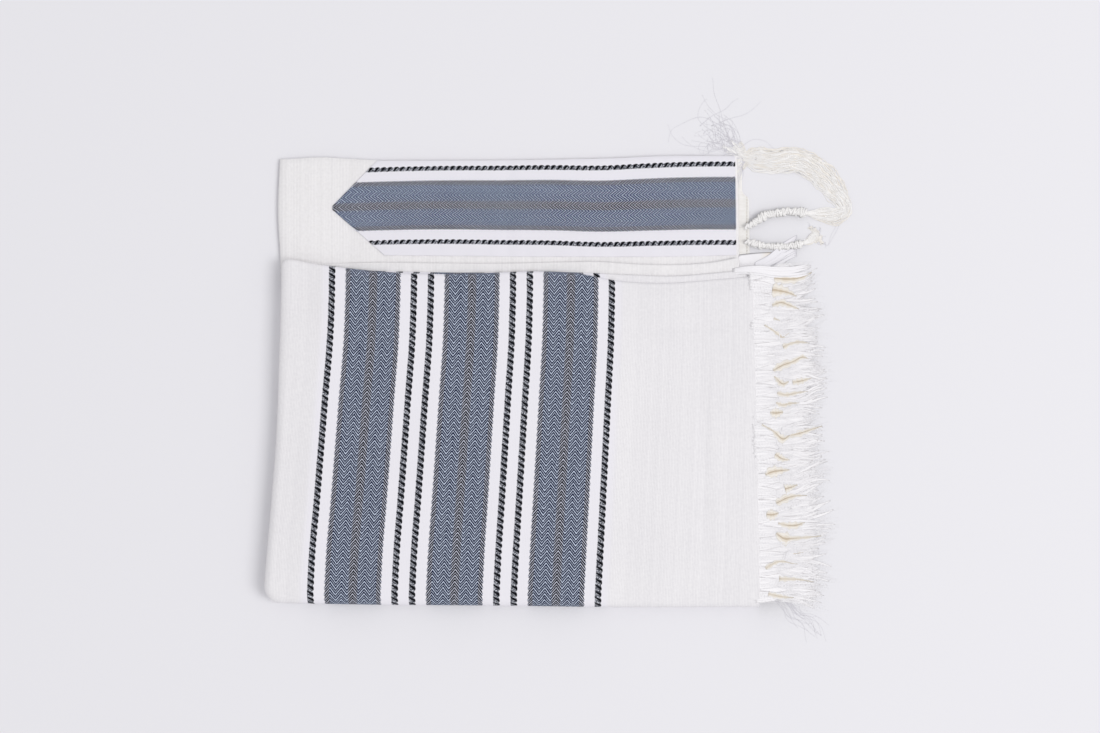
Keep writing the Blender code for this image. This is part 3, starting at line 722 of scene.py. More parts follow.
def lay_stripes(shader, base, ground_height, wide, cord, wide_mask, cord_mask):
    """The two kinds of stripe over the base colour, each standing a little above the ground weave."""
    striped = blend(wide_mask, blend(cord_mask, base, cord["Colour"]), wide["Colour"])
    striped.into(shader.inputs["Base Color"])
    height = ground_height * (wide_mask + cord_mask).rest() + wide["Height"] * wide_mask * WIDE_RISE
    raise_by(height + cord["Height"] * cord_mask * CORD_RISE, WEAVE_DEPTH, shader)


def make_plain_wool():
    made, tree, shader, across, along, weave = woven("plain wool", 0.9, 0.12)
    blend(weave["Tone"], GROUND_SHADE, GROUND_LIGHT).into(shader.inputs["Base Color"])
    raise_by(weave["Height"], WEAVE_DEPTH, shader)
    return made


def make_striped_wool():
    made, tree, shader, across, along, weave = woven("striped wool", 0.9, 0.02)
    ground = blend(weave["Tone"], STRIPED_SHADE, STRIPED_LIGHT)
    in_stripes = abs(across).falls(LAST_CORD + 4.0, LAST_CORD + 12.0)
    satin = blend(in_stripes * 0.75, ground, SATIN)
    in_repeat = across.about_zero(REPEAT)
    three = abs(across).falls(1.5 * REPEAT - 0.1, 1.5 * REPEAT)
    wide = use_group(tree, herringbone, Across=in_repeat, Along=along)
    cord = use_group(tree, corded_stripe, Across=in_repeat.beyond(CORD_AT), Along=along)
    ground_height = weave["Height"] * (in_stripes * -0.6 + 1.0)
    lay_stripes(shader, satin, ground_height, wide, cord, wide["Mask"] * three, cord["Mask"] * three)
    return made


plain_wool = make_plain_wool()
striped_wool = make_striped_wool()
print("striped wool:", len(striped_wool.node_tree.nodes), "nodes")

# %% [markdown]
# ## The front of the roll
# The front is the last turn of the roll. Its left side is a fold of the whole pile, its lower edge wraps
# round every turn inside it, and its upper edge turns down over the folds behind. The stripes fan out a
# little towards the foot, because the cloth was not rolled quite square, so two rows of a table say where
# the outer cords run.

# %% Front panel
FRONT_FOLDS = {
    "left": Fold(8.0, 11.4, 110.0), "lower": Fold(10.5, 1.0, 160.0), "upper": Fold(3.6, 11.5, 120.0),
}
CORD_RUNS = (  # y, first cord's x, last cord's x
    (-188.9, -176.4, 75.6), (-146.9, -174.3, 77.8), (-103.1, -170.3, 80.0), (-59.4, -166.8, 82.2),
    (-15.6, -163.3, 84.4), (36.9, -158.9, 87.0), (78.9, -157.2, 87.9),
)
FIRST_CORD_RUN = [(y, first) for y, first, last in CORD_RUNS]
LAST_CORD_RUN = [(y, last) for y, first, last in CORD_RUNS]


def stripe_place(x, y):
    """Across the cloth from the middle stripe, and up it, at a place on the front."""
    first, last = through(FIRST_CORD_RUN, y), through(LAST_CORD_RUN, y)
    return ((x - first) / (last - first) * 2 - 1) * LAST_CORD, y


front_cut = Cut(
    FRONT_LEFT, FRONT_LOWER, FRONT_RIGHT, FRONT_UPPER, {"lower left": 5.0, "upper left": 2.0}
)
bm = lay(front_cut, front_height, FRONT_FOLDS, stripe_place)
front = as_piece(bm, "front_cloth", striped_wool, "striped_wool", "front_panel")
thicken(front, WOOL)

# %% [markdown]
# ## The folds that peep out behind
# Two inner turns of the roll show as slivers above the front's edge. The nearer one carries the same
# stripes, a little to the left because each turn of the roll shifts, and the farther one is plain.

# %% Third and second fold
FOLD_THICK, BAND_LEFT, BAND_FOOT = 2.8, -200.0, 81.0
SECOND_LOW = BACK_TOP + 2 * SEAM
THIRD_LOW = SECOND_LOW + FOLD_THICK + SEAM
THIRD_SHIFT = 13.1


def folded_band(name, node, upper, right, low, sides, material, slot, cloth_place):
    """One turn of the roll, whose folded edge is round and shows its full height."""
    turned = Fold(1.4, low, 178.0)
    edges = [((BAND_FOOT, x), (upper[0][1], x)) for x in (BAND_LEFT, right)]
    corners = {"upper left": 3.0, "upper right": 2.0}
    cut = Cut(edges[0], level_edge(BAND_FOOT), edges[1], upper, corners)
    bm = lay(
        cut, lambda x, y: low + FOLD_THICK + 0.12 * np.sin(x / 23.0 + low),
        {side: turned for side in sides}, cloth_place,
    )
    piece = as_piece(bm, name, material, slot, node)
    thicken(piece, WOOL)


def shifted_stripes(x, y):
    return stripe_place(x + THIRD_SHIFT, y)


folded_band(
    "third_fold_cloth", "third_fold", THIRD_UPPER, 215.0, THIRD_LOW, ("upper",),
    striped_wool, "striped_wool", shifted_stripes,
)
folded_band(
    "second_fold_cloth", "second_fold", SECOND_UPPER, 200.3, SECOND_LOW, ("upper", "right"),
    plain_wool, "plain_wool", None,
)

# %% [markdown]
# ## The back of the shawl
# Above the roll lies the part of the shawl that carries the neckband, only four cloths thick. Its left and
# right sides are the two folds across the shawl, so both turn down round the layers beneath.

# %% Back panel
BACK_FOLDS = {"left": Fold(8.5, 1.6, 105.0), "right": Fold(2.4, 2.2, 100.0)}
back_cut = Cut(BACK_LEFT, level_edge(BAND_FOOT), BACK_RIGHT, BACK_UPPER)
bm = lay(back_cut, back_height, BACK_FOLDS)
back = as_piece(bm, "back_cloth", plain_wool, "plain_wool", "back_panel")
thicken(back, WOOL)

# %% [markdown]
# ## The neckband
# The atara is a separate woven band with a pointed end, sewn flat along its edges. Its stripes repeat the
# shawl's own: a herringbone between two cords, on white satin. The band was pulled a little as it was
# sewn, so its stripes wander by a millimetre or two, and a row of small stitches holds the edge.

# %% Neckband
NECKBAND_MIDDLE = (  # x, y of the herringbone's middle
    (-160.0, 153.6), (-116.3, 155.2), (-54.5, 156.2), (-10.5, 156.0), (33.6, 156.0), (77.7, 155.1),
    (121.8, 156.5), (165.9, 157.6), (198.0, 157.7),
)
NECKBAND_STRETCH = (  # x, how wide the pattern lies
    (-160.0, 0.95), (-81.0, 0.953), (-28.0, 0.964), (25.0, 0.98), (78.0, 0.997), (131.0, 1.018),
    (198.0, 1.025),
)
NECKBAND_LIES = 0.85
NECKBAND_CORD_AT = 33.8


def band_place(x, y):
    """Across the band from the herringbone's middle, and along it from right to left."""
    return (y - through(NECKBAND_MIDDLE, x)) / through(NECKBAND_STRETCH, x), -x


def make_neckband_weave():
    made, tree, shader, across, along, weave = woven("neckband weave", 0.85, 0.02, Rib=0.9, Pick=0.9)
    ground = blend(weave["Tone"], srgb(236, 234, 240), SATIN)
    wide = use_group(
        tree, herringbone, Across=across, Along=along, Half_Width=22.6, Column=9.0, Period=5.55,
        Yarn=srgb(6, 26, 80), Weft=srgb(228, 242, 255),
    )
    cord = use_group(
        tree, corded_stripe, Across=across.beyond(NECKBAND_CORD_AT), Along=along, Period=5.55,
        Half_Width=2.15,
    )
    lay_stripes(shader, ground, weave["Height"], wide, cord, wide["Mask"], cord["Mask"])
    return made


neckband_weave = make_neckband_weave()
band_cut = Cut(
    NECKBAND_POINT, NECKBAND_LOWER, NECKBAND_RIGHT, [(x, y - SEAM) for x, y in BACK_UPPER],
    read_sides=straight,
)


def band_height(x, y):
    """The band lies on the back's own height, a little puckered where it is sewn."""
    pucker = 0.12 * np.sin(x / 3.1 + np.sin(x / 11.0)) * (np.abs(y - 155.0) > 36.0)
    return back_height(x, y) + NECKBAND_LIES + pucker


bm = lay(band_cut, band_height, None, band_place)
band = as_piece(bm, "neckband_cloth", neckband_weave, "neckband_weave", "neckband")
thicken(band, BAND_CLOTH)

# %% [markdown]
# ## The corner of the shawl
# Past the back panel's right fold, a strip of the shawl's corner shows, with the square patch that
# strengthens the hole for the tzitzit. It lies lowest of all, on the table.

# %% Corner patch
PATCH = 1.6
patch_cut = Cut(PATCH_LEFT, PATCH_LOWER, PATCH_RIGHT, PATCH_UPPER, read_sides=straight)


def make_corner_cloth():
    made, tree, shader = new_material("corner cloth", 0.9, 0.12)
    across, along = cloth_numbers(tree)
    weave = use_group(tree, plain_weave, Across=along, Along=across, Rib=1.1, Pick=0.9)
    ground = blend(weave["Tone"], srgb(238, 235, 231), srgb(248, 246, 244))
    seam = abs(across - 207.6).falls(0.25, 0.5) * abs((along / 2.8).fract() - 0.5).falls(0.3, 0.36)
    blend(seam, ground, srgb(224, 218, 208)).into(shader.inputs["Base Color"])
    raise_by(weave["Height"] - seam * 1.5, 0.2, shader)
    return made


def patch_height(x, y):
    hem = 0.3 * np.exp(-(((through(PATCH_RIGHT, y) - x - 1.4) / 1.1) ** 2))
    return PATCH - 0.3 + hem + 0.08 * np.sin(y / 6.0)


corner_cloth = make_corner_cloth()
bm = lay(patch_cut, patch_height, {"right": Fold(0.7, 0.4, 150.0)})
patch = as_piece(bm, "corner_cloth_strip", corner_cloth, "corner_cloth", "corner_patch")
thicken(patch, WOOL)

# %% [markdown]
# ## The layers inside
# The turns of the roll that don't show lie in one pile, seen only at its ends: round folds on the left,
# loose ends on the right. A ring of points on the outline is extruded upwards level by level, going in
# at each crease between two folds and out at each fold's belly. Every fold juts out by its own amount,
# which changes slowly along the pile, as no two turns of a real roll line up.

# %% The pile
BELLY = ((0.0, 1.0), (0.1, 0.4), (0.28, 0.06), (0.5, 0.0), (0.72, 0.06), (0.9, 0.4), (0.97, 1.0))
RING_CELL = 5.0


def stack(cut, levels):
    """A closed pile through one ring for each level: a height function and four insets."""
    columns, rows = spaced(cut.width, RING_CELL), spaced(cut.height, RING_CELL)
    u = np.concatenate([columns[:-1], np.ones(len(rows) - 1), columns[:0:-1], np.zeros(len(rows) - 1)])
    w = np.concatenate([np.zeros(len(columns) - 1), rows[:-1], np.ones(len(columns) - 1), rows[:0:-1]])
    _, flat_y = cut.place(u, w, (0.0,) * 4)
    bm = bmesh.new()
    across = bm.verts.layers.float.new("across")
    along = bm.verts.layers.float.new("along")
    bmesh.ops.create_circle(bm, cap_ends=True, segments=len(u), radius=1.0)
    bm.faces.ensure_lookup_table()
    face = bm.faces[0]
    for number, (height, insets) in enumerate(levels):
        if number:
            base = face
            made = bmesh.ops.extrude_face_region(bm, geom=[base])["geom"]
            face = next(f for f in made if isinstance(f, bmesh.types.BMFace) and len(f.verts) == len(u))
            if number > 1:
                bmesh.ops.delete(bm, geom=[base], context="FACES_ONLY")
        x, y = cut.place(u, w, insets(flat_y))
        z = height(x)
        for vert, at in zip(face.verts, zip(x, y, z)):
            vert.co = Vector(at) * MM
            vert[across], vert[along] = at[0] + at[2], at[1] + at[2]
    bmesh.ops.recalc_face_normals(bm, faces=bm.faces)
    return bm


# %% [markdown]
# ## The levels of a pile
# A pile's levels are a table too: where along each fold's thickness a ring lies, and how deep into the
# crease it goes. Where the front's cloth wraps the pile, the rings follow the inside of its fold.

# %% Folds and creases of a pile
PILE_FALL = 0.125  # share of its height that a pile loses towards the fringe
GOLDEN = 0.618034  # spreads the folds' own numbers evenly between 0 and 1


def jut(number, place, loose):
    """How far one fold lies in from the rest, along its edge."""
    own = (number * GOLDEN) % 1.0
    return loose * (own + 0.35 * np.sin(place / 37.0 + 5.0 * own) + 0.2 * np.sin(place / 13.0 + 9.0 * own))


def inside_lower_fold(z):
    """How far in the pile lies from the lower edge, to fill the fold that wraps it."""
    fold = FRONT_FOLDS["lower"]
    half = (FRONT_TOP - fold.lands) / 2
    lift = min(abs(z - fold.lands - half) / (half - WOOL), 0.98)
    return fold.reach - (fold.reach - WOOL) * math.sqrt(1 - lift * lift) + SEAM


def pile_levels(top, folds, closed, lower, left_in, right_in, crease):
    """Levels of a pile of folds up to its top, then the flat rows that close it."""
    rows = [
        (number, top * (number + share) / folds, depth) for number in range(folds) for share, depth in BELLY
    ]
    rows += [(folds, z, depth) for z, depth in closed]
    levels = []
    for number, z, depth in rows:
        def insets(y, number=number, z=z, depth=depth):
            left = left_in + jut(number, y, 1.1) + crease * depth
            right = right_in + jut(number + 3, y, 1.6) + crease * depth
            return left, lower(z), right, 0.4 * depth
        levels.append((lambda x, z=z: z * (1 - PILE_FALL * fall_share(x)), insets))
    return levels


# %% [markdown]
# ## The two piles
# One pile fills the roll, eight folds high. The other lies under the back panel and is only two folds high.

# %% Make the piles
rolls_cut = Cut(FRONT_LEFT, FRONT_LOWER, FRONT_RIGHT, level_edge(80.0), {"lower left": 14.0})
bm = stack(
    rolls_cut,
    pile_levels(11.8, 8, ((12.4, 1.2), (13.6, 1.4), (14.6, 2.2)), inside_lower_fold, 0.6, 3.2, 1.2),
)
rolls = as_piece(bm, "hidden_rolls", plain_wool, "plain_wool", "hidden_layers")

back_layers_cut = Cut(BACK_LEFT, level_edge(74.0), BACK_RIGHT, BACK_UPPER)
bm = stack(
    back_layers_cut,
    pile_levels(1.9, 2, ((2.5, 1.3), (3.2, 1.9)), lambda z: 0.0, 0.7, 4.2, 0.9),
)
back_layers = as_piece(bm, "hidden_back_layers", plain_wool, "plain_wool", "hidden_layers")

# %% [markdown]
# ## Yarns
# The fringes and the tzitziyot are hundreds of yarns. One short tube is made once, an Array modifier
# repeats it, and then every copy's rings are moved onto its own path. The UV map runs round and along
# each yarn, so that the twist of its plies can be drawn on it.

# %% A strand and its path


def make_strand(sides, pieces):
    """A straight tube of the given pieces, with round-and-along numbers as its UV map."""
    bm = bmesh.new()
    bmesh.ops.create_cone(bm, cap_ends=True, segments=sides, radius1=1.0, radius2=1.0, depth=1.0)
    lengthways = [e for e in bm.edges if abs(e.verts[0].co.z - e.verts[1].co.z) > 0.5]
    bmesh.ops.subdivide_edges(bm, edges=lengthways, cuts=pieces - 1, use_grid_fill=True)
    bmesh.ops.recalc_face_normals(bm, faces=bm.faces)
    uv = bm.loops.layers.uv.new("yarn")
    for face in bm.faces:
        middle = face.calc_center_median()
        facing = math.atan2(middle.y, middle.x)
        for loop in face.loops:
            spot = loop.vert.co
            turn = (math.atan2(spot.y, spot.x) - facing + math.pi) % (2 * math.pi) - math.pi
            loop[uv].uv = ((facing + turn) / (2 * math.pi), spot.z + 0.5)
    strand = bpy.data.meshes.new("strand")
    bm.to_mesh(strand)
    bm.free()
    return strand


def repeated(strand, count):
    """One mesh that holds the strand again and again."""
    row = bpy.data.objects.new("strand row", strand)
    bpy.context.scene.collection.objects.link(row)
    copies = row.modifiers.new("copies", "ARRAY")
    copies.count = count
    copies.use_relative_offset = False
    bpy.context.view_layer.update()
    mesh = bpy.data.meshes.new_from_object(row.evaluated_get(bpy.context.evaluated_depsgraph_get()))
    bpy.data.objects.remove(row)
    return mesh


def smooth_path(points, at):
    """Points at the shares given, on a smooth curve through a short list, any number of columns wide."""
    points = np.array(points, float)
    steps = np.linalg.norm(np.diff(points[:, :2], axis=0), axis=1)
    place = np.concatenate([[0.0], np.cumsum(steps)])
    curve = [through(list(zip(place, column)), at * place[-1]) for column in points.T]
    return np.stack(curve, -1), place[-1]


def unit(vectors):
    return vectors / np.maximum(np.linalg.norm(vectors, axis=-1, keepdims=True), 1e-9)


# %% [markdown]
# ## Many yarns in one mesh
# Each ring of each copy is turned to face along its path and given its own radius. All of them are placed
# in one array operation, because there are hundreds of yarns.

# %% Spin yarns along paths
BETWEEN_YARNS, UV_STEP = 2.4, 0.0013  # so that no two yarns in a mesh are alike


def spin_yarns(paths, radii, towards=(0.0, 0.0, 1.0), sides=4, plies=1.0, tall=None, lobes=0.0, lay=1.0):
    """One mesh of yarns. paths is (yarns, stations, 3) in millimetres, and radii is (yarns, stations).
    tall gives a flattened body its own half height, lobes is how deep the furrows between its strands are,
    and a small lay lets its yarns run nearly straight along it."""
    paths, radii = np.asarray(paths, float), np.asarray(radii, float)
    tall = radii if tall is None else np.asarray(tall, float)
    count, stations = radii.shape
    strand = make_strand(sides, stations - 1)
    spots = np.array([vert.co for vert in strand.vertices])
    station = np.rint((spots[:, 2] + 0.5) * (stations - 1)).astype(int)
    angle = np.arctan2(spots[:, 1], spots[:, 0])
    along = unit(np.gradient(paths, axis=1))
    side = unit(np.cross(along, np.broadcast_to(towards, paths.shape)))
    up = np.cross(along, side)
    own = np.arange(count)[:, None] * BETWEEN_YARNS
    furrows = np.cos(5 * angle + 4.0 * spots[:, 2] + own)
    furrows = furrows + 0.7 * np.cos(8 * angle - 7.0 * spots[:, 2] + 1.7 * own)
    swell = (1.0 + lobes * furrows)[..., None]
    ring = np.cos(angle)[:, None] * side[:, station] * radii[:, station, None]
    ring = ring + np.sin(angle)[:, None] * up[:, station] * tall[:, station, None]
    places = paths[:, station] + ring * swell
    mesh = repeated(strand, count)
    mesh.vertices.foreach_set("co", (places * MM).ravel())
    uv = np.empty(len(strand.loops) * 2)
    strand.uv_layers["yarn"].data.foreach_get("uv", uv)
    lengths = np.linalg.norm(np.diff(paths, axis=1), axis=2).sum(1) * MM
    uv = np.broadcast_to(uv.reshape(-1, 2), (count, len(strand.loops), 2)).copy()
    uv[:, :, 0] *= plies
    uv[:, :, 1] = uv[:, :, 1] * lengths[:, None] * lay + own * UV_STEP
    mesh.uv_layers["yarn"].data.foreach_set("uv", uv.ravel())
    mesh.update()
    mesh.shade_smooth()
    return mesh


def join_meshes(name, meshes):
    """One mesh from several, in the order given."""
    bm = bmesh.new()
    for mesh in meshes:
        bm.from_mesh(mesh)
    joined = bpy.data.meshes.new(name)
    bm.to_mesh(joined)
    bm.free()
    joined.shade_smooth()
    return joined


# %% [markdown]
# ## Yarn twist
# Wool yarn is two plies twisted together. One shader group draws them from the UV map that runs round and
# along each yarn, with the fuzz of loose fibres, and every yarn's material uses it. Its tone is painted a
# little lighter on the plies' crests than in the grooves between them: painted shade.

# %% Group: yarn twist


def make_yarn_twist():
    tree, fields, out = shader_group(
        "yarn twist", {"Around": 0.0, "Along": 0.0, "Pitch": 2.4},
        {"Height": "NodeSocketFloat", "Tone": "NodeSocketFloat"},
    )
    around, along, pitch = fields
    place = object_place(tree)
    fuzz = noise(tree, place, 900.0, 3.0)
    plies = (around * 2.0 + along / pitch + fuzz * 0.15).wave()
    (plies * 0.5 + 0.5 + fuzz * 0.8).into(out["Height"])
    # Tone: painted shade, lighter on the plies' crests, plus the fibres' own uneven tone.
    (plies * 0.12 + (fuzz - 0.5) * 0.7 + (noise(tree, place, 60.0) - 0.5) * 0.8 + 0.5).into(out["Tone"])
    return tree


yarn_twist = make_yarn_twist()
print("yarn twist:", len(yarn_twist.nodes), "nodes")

# %% [markdown]
# ## Yarn finishes
# Light gets deep between yarns, and gaps turn warm where it has bounced from yarn to yarn. That warm shade is
# painted into the yarn's colour, by its depth below the bundles' top, which falls as they run out past the
# cloth; some yarns also get a painted shade on the steep sides of their strands. Light also soaks through the
# yarns, so that their sides are nearly as bright as their tops: the recipe turns the surface's direction part
# of the way up. The fringe is a softer, thicker yarn than the hard-twisted tzitzit cord.

# %% Materials for yarn
CLOTH_END = 213.0
FRINGE_TOP, FRINGE_FALL = 16.3, 0.165
PLY_DEPTH = 0.08
# STEEP: where a strand's side is steep enough to take its painted shade colour
STEEP = (0.62, 0.99)  # how far up a strand's side faces where the furrow's colour is full, and where it ends


def surface_normal(tree):
    return Field(tree, tree.nodes.new("ShaderNodeNewGeometry").outputs["Normal"])


def lifted_normal(tree, share):
    """The surface's own direction, turned part of the way to straight up."""
    node = tree.nodes.new("ShaderNodeMix")
    node.data_type = "VECTOR"
    for label, value in (("Factor", share), ("A", surface_normal(tree)), ("B", (0.0, 0.0, 1.0))):
        put(value, node.inputs[label])
    return Field(tree, node.outputs["Result"])


# Shares of the painted warm shade by distance out past the cloth: beside the knots, and past the cloth's end.
def beside_knots(out):
    return out.rises(4.0, 18.0) * out.falls(26.0, 44.0)


def past_the_cloth(out):
    return out.rises(4.0, 8.0)


def make_yarn(
    name, inner, light, lift, deep_shade_share, deep_from=(2.6, 5.0), furrow=None,
    pitch=2.6, sheen=0.12, top=FRINGE_TOP, fall=FRINGE_FALL,
):
    """Bleached yarn: light on top, with a painted warm shade deep between the yarns. Below the depths given
    under the bundles' top, the yarn takes the inner colour, and the share function says how much of it shows
    at each distance out past the cloth. The steep sides of a strand, where it meets the next, take a painted
    shade colour when one is given."""
    made, tree, shader = new_material(name, 0.9, sheen)
    around, along = cloth_numbers(tree, "yarn")
    twist = use_group(tree, yarn_twist, Around=around / IN_MM, Along=along, Pitch=pitch)
    x, _, z = split(object_place(tree))
    out = x * IN_MM - CLOTH_END
    deep = out * -fall + top - z * IN_MM
    # painted shade: the deeper the yarn lies below the bundles' top, the more it takes the inner colour
    shade = (deep + (twist["Tone"] - 0.5) * 1.2).rises(*deep_from)
    colour = blend(shade * deep_shade_share(out), light, inner)
    # painted shade on the steep sides of the strands
    if furrow:
        facing = split(surface_normal(tree))[2]
        colour = blend(facing.falls(*STEEP) * 0.9, colour, furrow)
    colour.into(shader.inputs["Base Color"])
    raise_by(twist["Height"], PLY_DEPTH, shader, lifted_normal(tree, lift))
    return made


FURROW_YARN = {"deep_from": (2.0, 4.2), "sheen": 0.1}
CORD = {"pitch": 1.8, "fall": 0.0}
# Fringe yarn and thread: white with a painted warm shade beside the knots; the yarn also takes a painted
# shade on its strands' steep sides.
fringe_yarn = make_yarn(
    "fringe yarn", srgb(241, 233, 222), srgb(249, 247, 249), 0.8, beside_knots, furrow=srgb(224, 220, 222),
)
fringe_thread = make_yarn("fringe thread", srgb(243, 234, 222), srgb(247, 245, 248), 0.75, beside_knots)
# The spray's yarn is painted a little greyer and bluer than the fringe yarn, a painted shade for strands
# lying low under the pile's corner, with painted shade on its steep sides too.
spray_yarn = make_yarn(
    "fringe yarn, spray", srgb(242, 240, 245), srgb(242, 240, 245), 0.8, beside_knots,
    furrow=srgb(218, 216, 224),
)
# The furrows' three materials are painted shade throughout: pale for the hollow, warm for the line, deep for
# its core.
pale_shade_yarn = make_yarn(
    "fringe yarn, pale painted shade", srgb(238, 233, 226), srgb(241, 236, 229), 0.9, beside_knots, **FURROW_YARN
)
warm_shade_yarn = make_yarn(
    "fringe yarn, warm painted shade", srgb(222, 211, 196), srgb(231, 222, 209), 0.85, past_the_cloth, **FURROW_YARN
)
deep_shade_yarn = make_yarn(
    "fringe yarn, deep painted shade", srgb(186, 166, 142), srgb(206, 191, 171), 0.85, past_the_cloth, **FURROW_YARN
)
# The cord takes a painted warm shade deep in the tassel's head and threads, and none in its frizz.
tzitzit_cord = make_yarn(
    "tzitzit cord", srgb(246, 240, 232), srgb(250, 248, 247), 0.75, lambda out: out.rises(-16.0, -4.0),
    (0.8, 3.2), sheen=0.1, top=4.6, **CORD,
)
# Frizz and loose hairs are painted greyer than the cord's white: painted shade for hairs that cast no shadow
# on each other.
shaded_frayed_yarn = make_yarn(
    "frayed yarn, painted shade", srgb(224, 222, 229), srgb(224, 222, 229), 0.85, lambda out: out * 0.0,
    (2.0, 4.0), sheen=0.2, top=6.0, **CORD,
)
print("yarns:", [made.name for made in bpy.data.materials if "yarn" in made.name or "cord" in made.name])

# %% [markdown]
# ## The knotted fringe
# The warp ends are gathered group by group. In each group the yarns run together from the cloth's end,
# pass through a wrapped knot, and spread again into a loose lock that sinks to the table. A short table
# gives a bundle's height and size at each distance out past the cloth, in millimetres. A second set of
# yarns fills the dips between the front's knots and runs on under its locks. The layer below shows its
# own fringe, lower down. Each fringe's last number seeds its random draws.

# %% Tables of the fringe
STATIONS = 13
SHARE = np.linspace(0.0, 1.0, STATIONS)
BODY_SHARE = np.linspace(0.0, 1.0, 21)
Bundle = namedtuple("Bundle", "out z half_wide half_tall")
Knot = namedtuple("Knot", "wide tall turns")
Fringe = namedtuple("Fringe", "groups low_y high_y knot_out bundle knot roots locks strands seed")
FRONT_FRINGE = Fringe(
    26, -193.5, 101.0, 18.0,
    (
        Bundle(-3.0, 14.9, 5.9, 0.3), Bundle(0.5, 15.0, 5.8, 0.4), Bundle(4.0, 14.8, 5.6, 0.6),
        Bundle(9.0, 14.3, 5.0, 0.8), Bundle(14.0, 13.6, 3.9, 1.0), Bundle(18.0, 12.8, 3.3, 1.3),
        Bundle(23.0, 11.7, 4.6, 1.5), Bundle(29.0, 10.2, 5.8, 1.4), Bundle(36.0, 8.2, 7.0, 1.2),
        Bundle(45.0, 5.4, 8.0, 0.9), Bundle(54.0, 2.8, 8.6, 0.6), Bundle(62.0, 1.1, 8.8, 0.4),
        Bundle(71.0, 0.6, 8.4, 0.25),
    ),
    Knot(3.0, 1.2, 2), 12, 30, (5, 8), 3,
)
HALF_PITCH = 5.66
BETWEEN = Fringe(
    25, -193.5 + HALF_PITCH, 101.0 - HALF_PITCH, 42.0,
    (
        Bundle(-2.0, 14.5, 5.6, 0.4), Bundle(8.0, 13.9, 5.7, 0.5), Bundle(14.0, 12.7, 5.8, 0.7),
        Bundle(19.0, 11.2, 5.8, 0.9), Bundle(28.0, 9.4, 6.0, 0.9), Bundle(42.0, 6.2, 6.2, 0.8),
        Bundle(50.0, 3.0, 5.6, 0.6), Bundle(58.0, 0.8, 4.6, 0.3),
    ),
    Knot(0.0, 0.0, 0), 12, 0, (5, 0), 7,
)
UNDER_FRINGE = Fringe(
    24, -187.5, 86.0, 14.0,
    (
        Bundle(-4.0, 6.0, 5.8, 0.3), Bundle(4.0, 5.6, 4.6, 1.0), Bundle(9.0, 4.8, 3.4, 1.5),
        Bundle(14.0, 4.0, 3.0, 1.9), Bundle(20.0, 3.3, 4.2, 1.8), Bundle(29.0, 2.7, 5.4, 1.5),
        Bundle(42.0, 2.0, 6.0, 1.0), Bundle(57.0, 1.4, 6.2, 0.6),
    ),
    Knot(3.0, 2.1, 3), 8, 16, (2, 3), 5,
)
Stray = namedtuple("Stray", "start tip bow lift swell reach")
STRAIGHT = Stray(0.0, 0.0, 0.0, 0.0, 1.0, 1.0)
STRAYS = {  # the groups at both ends of the front fringe, which splay
    0: Stray(0.0, -7.0, 0.0, 0.0, 0.9, 0.86), 1: Stray(0.0, -5.0, 0.0, 0.0, 1.05, 0.94),
    23: Stray(0.0, 4.0, 0.0, 0.0, 1.0, 0.9), 24: Stray(0.0, 4.0, 1.0, 0.3, 1.0, 0.84),
    25: Stray(1.0, -2.0, 2.0, 0.8, 0.85, 0.84),
}
print("groups:", FRONT_FRINGE.groups, "and", BETWEEN.groups, "between, under them", UNDER_FRINGE.groups)

# %% [markdown]
# ## Where a bundle runs
# Each group draws its own drift, pull, lean and sway, so no two are alike. A root runs from the cloth's
# end to a little past its knot. A lock starts just inside the knot, narrow, and opens as it falls.

# %% The lines of roots and locks
Group = namedtuple("Group", "middle end drift pull lean sway waves phase reach wide turn stray")
PAST_KNOT, INTO_KNOT = 12.0, 1.5


def spread_of(fringe, out):
    """The bundle's height, half width and half height where it is this far out."""
    rows = np.array(fringe.bundle)
    return [through(list(zip(rows[:, 0], rows[:, column])), out) for column in (1, 2, 3)]


def fringe_groups(fringe, strays):
    loose = random.Random(fringe.seed)
    pitch = (fringe.high_y - fringe.low_y) / fringe.groups
    for number in range(fringe.groups):
        middle = fringe.low_y + pitch * (number + 0.5) + loose.uniform(-0.9, 0.9)
        yield Group(
            middle, float(through(FRONT_RIGHT, middle)), loose.uniform(-2.8, 2.8), loose.uniform(-5.0, 5.0),
            loose.uniform(-2.0, 10.0), loose.uniform(1.0, 3.0), loose.uniform(4.0, 9.0),
            loose.uniform(0.0, 6.0), loose.uniform(0.84, 1.02), loose.uniform(0.8, 1.25),
            loose.uniform(1.2, 4.5) * loose.choice((-1, 1)), strays.get(number, STRAIGHT),
        )


def root_line(fringe, group, share):
    """The middle of a group's yarns from the cloth's end to a little past its knot, and their spread."""
    first, last = fringe.bundle[0].out, fringe.knot_out + group.pull * 1.2 + PAST_KNOT
    out = first + (last - first) * share
    z, wide, tall = spread_of(fringe, out - group.pull * share)
    y = group.middle + group.drift * share + group.stray.start * share
    return group.end + out, y, z, wide, tall


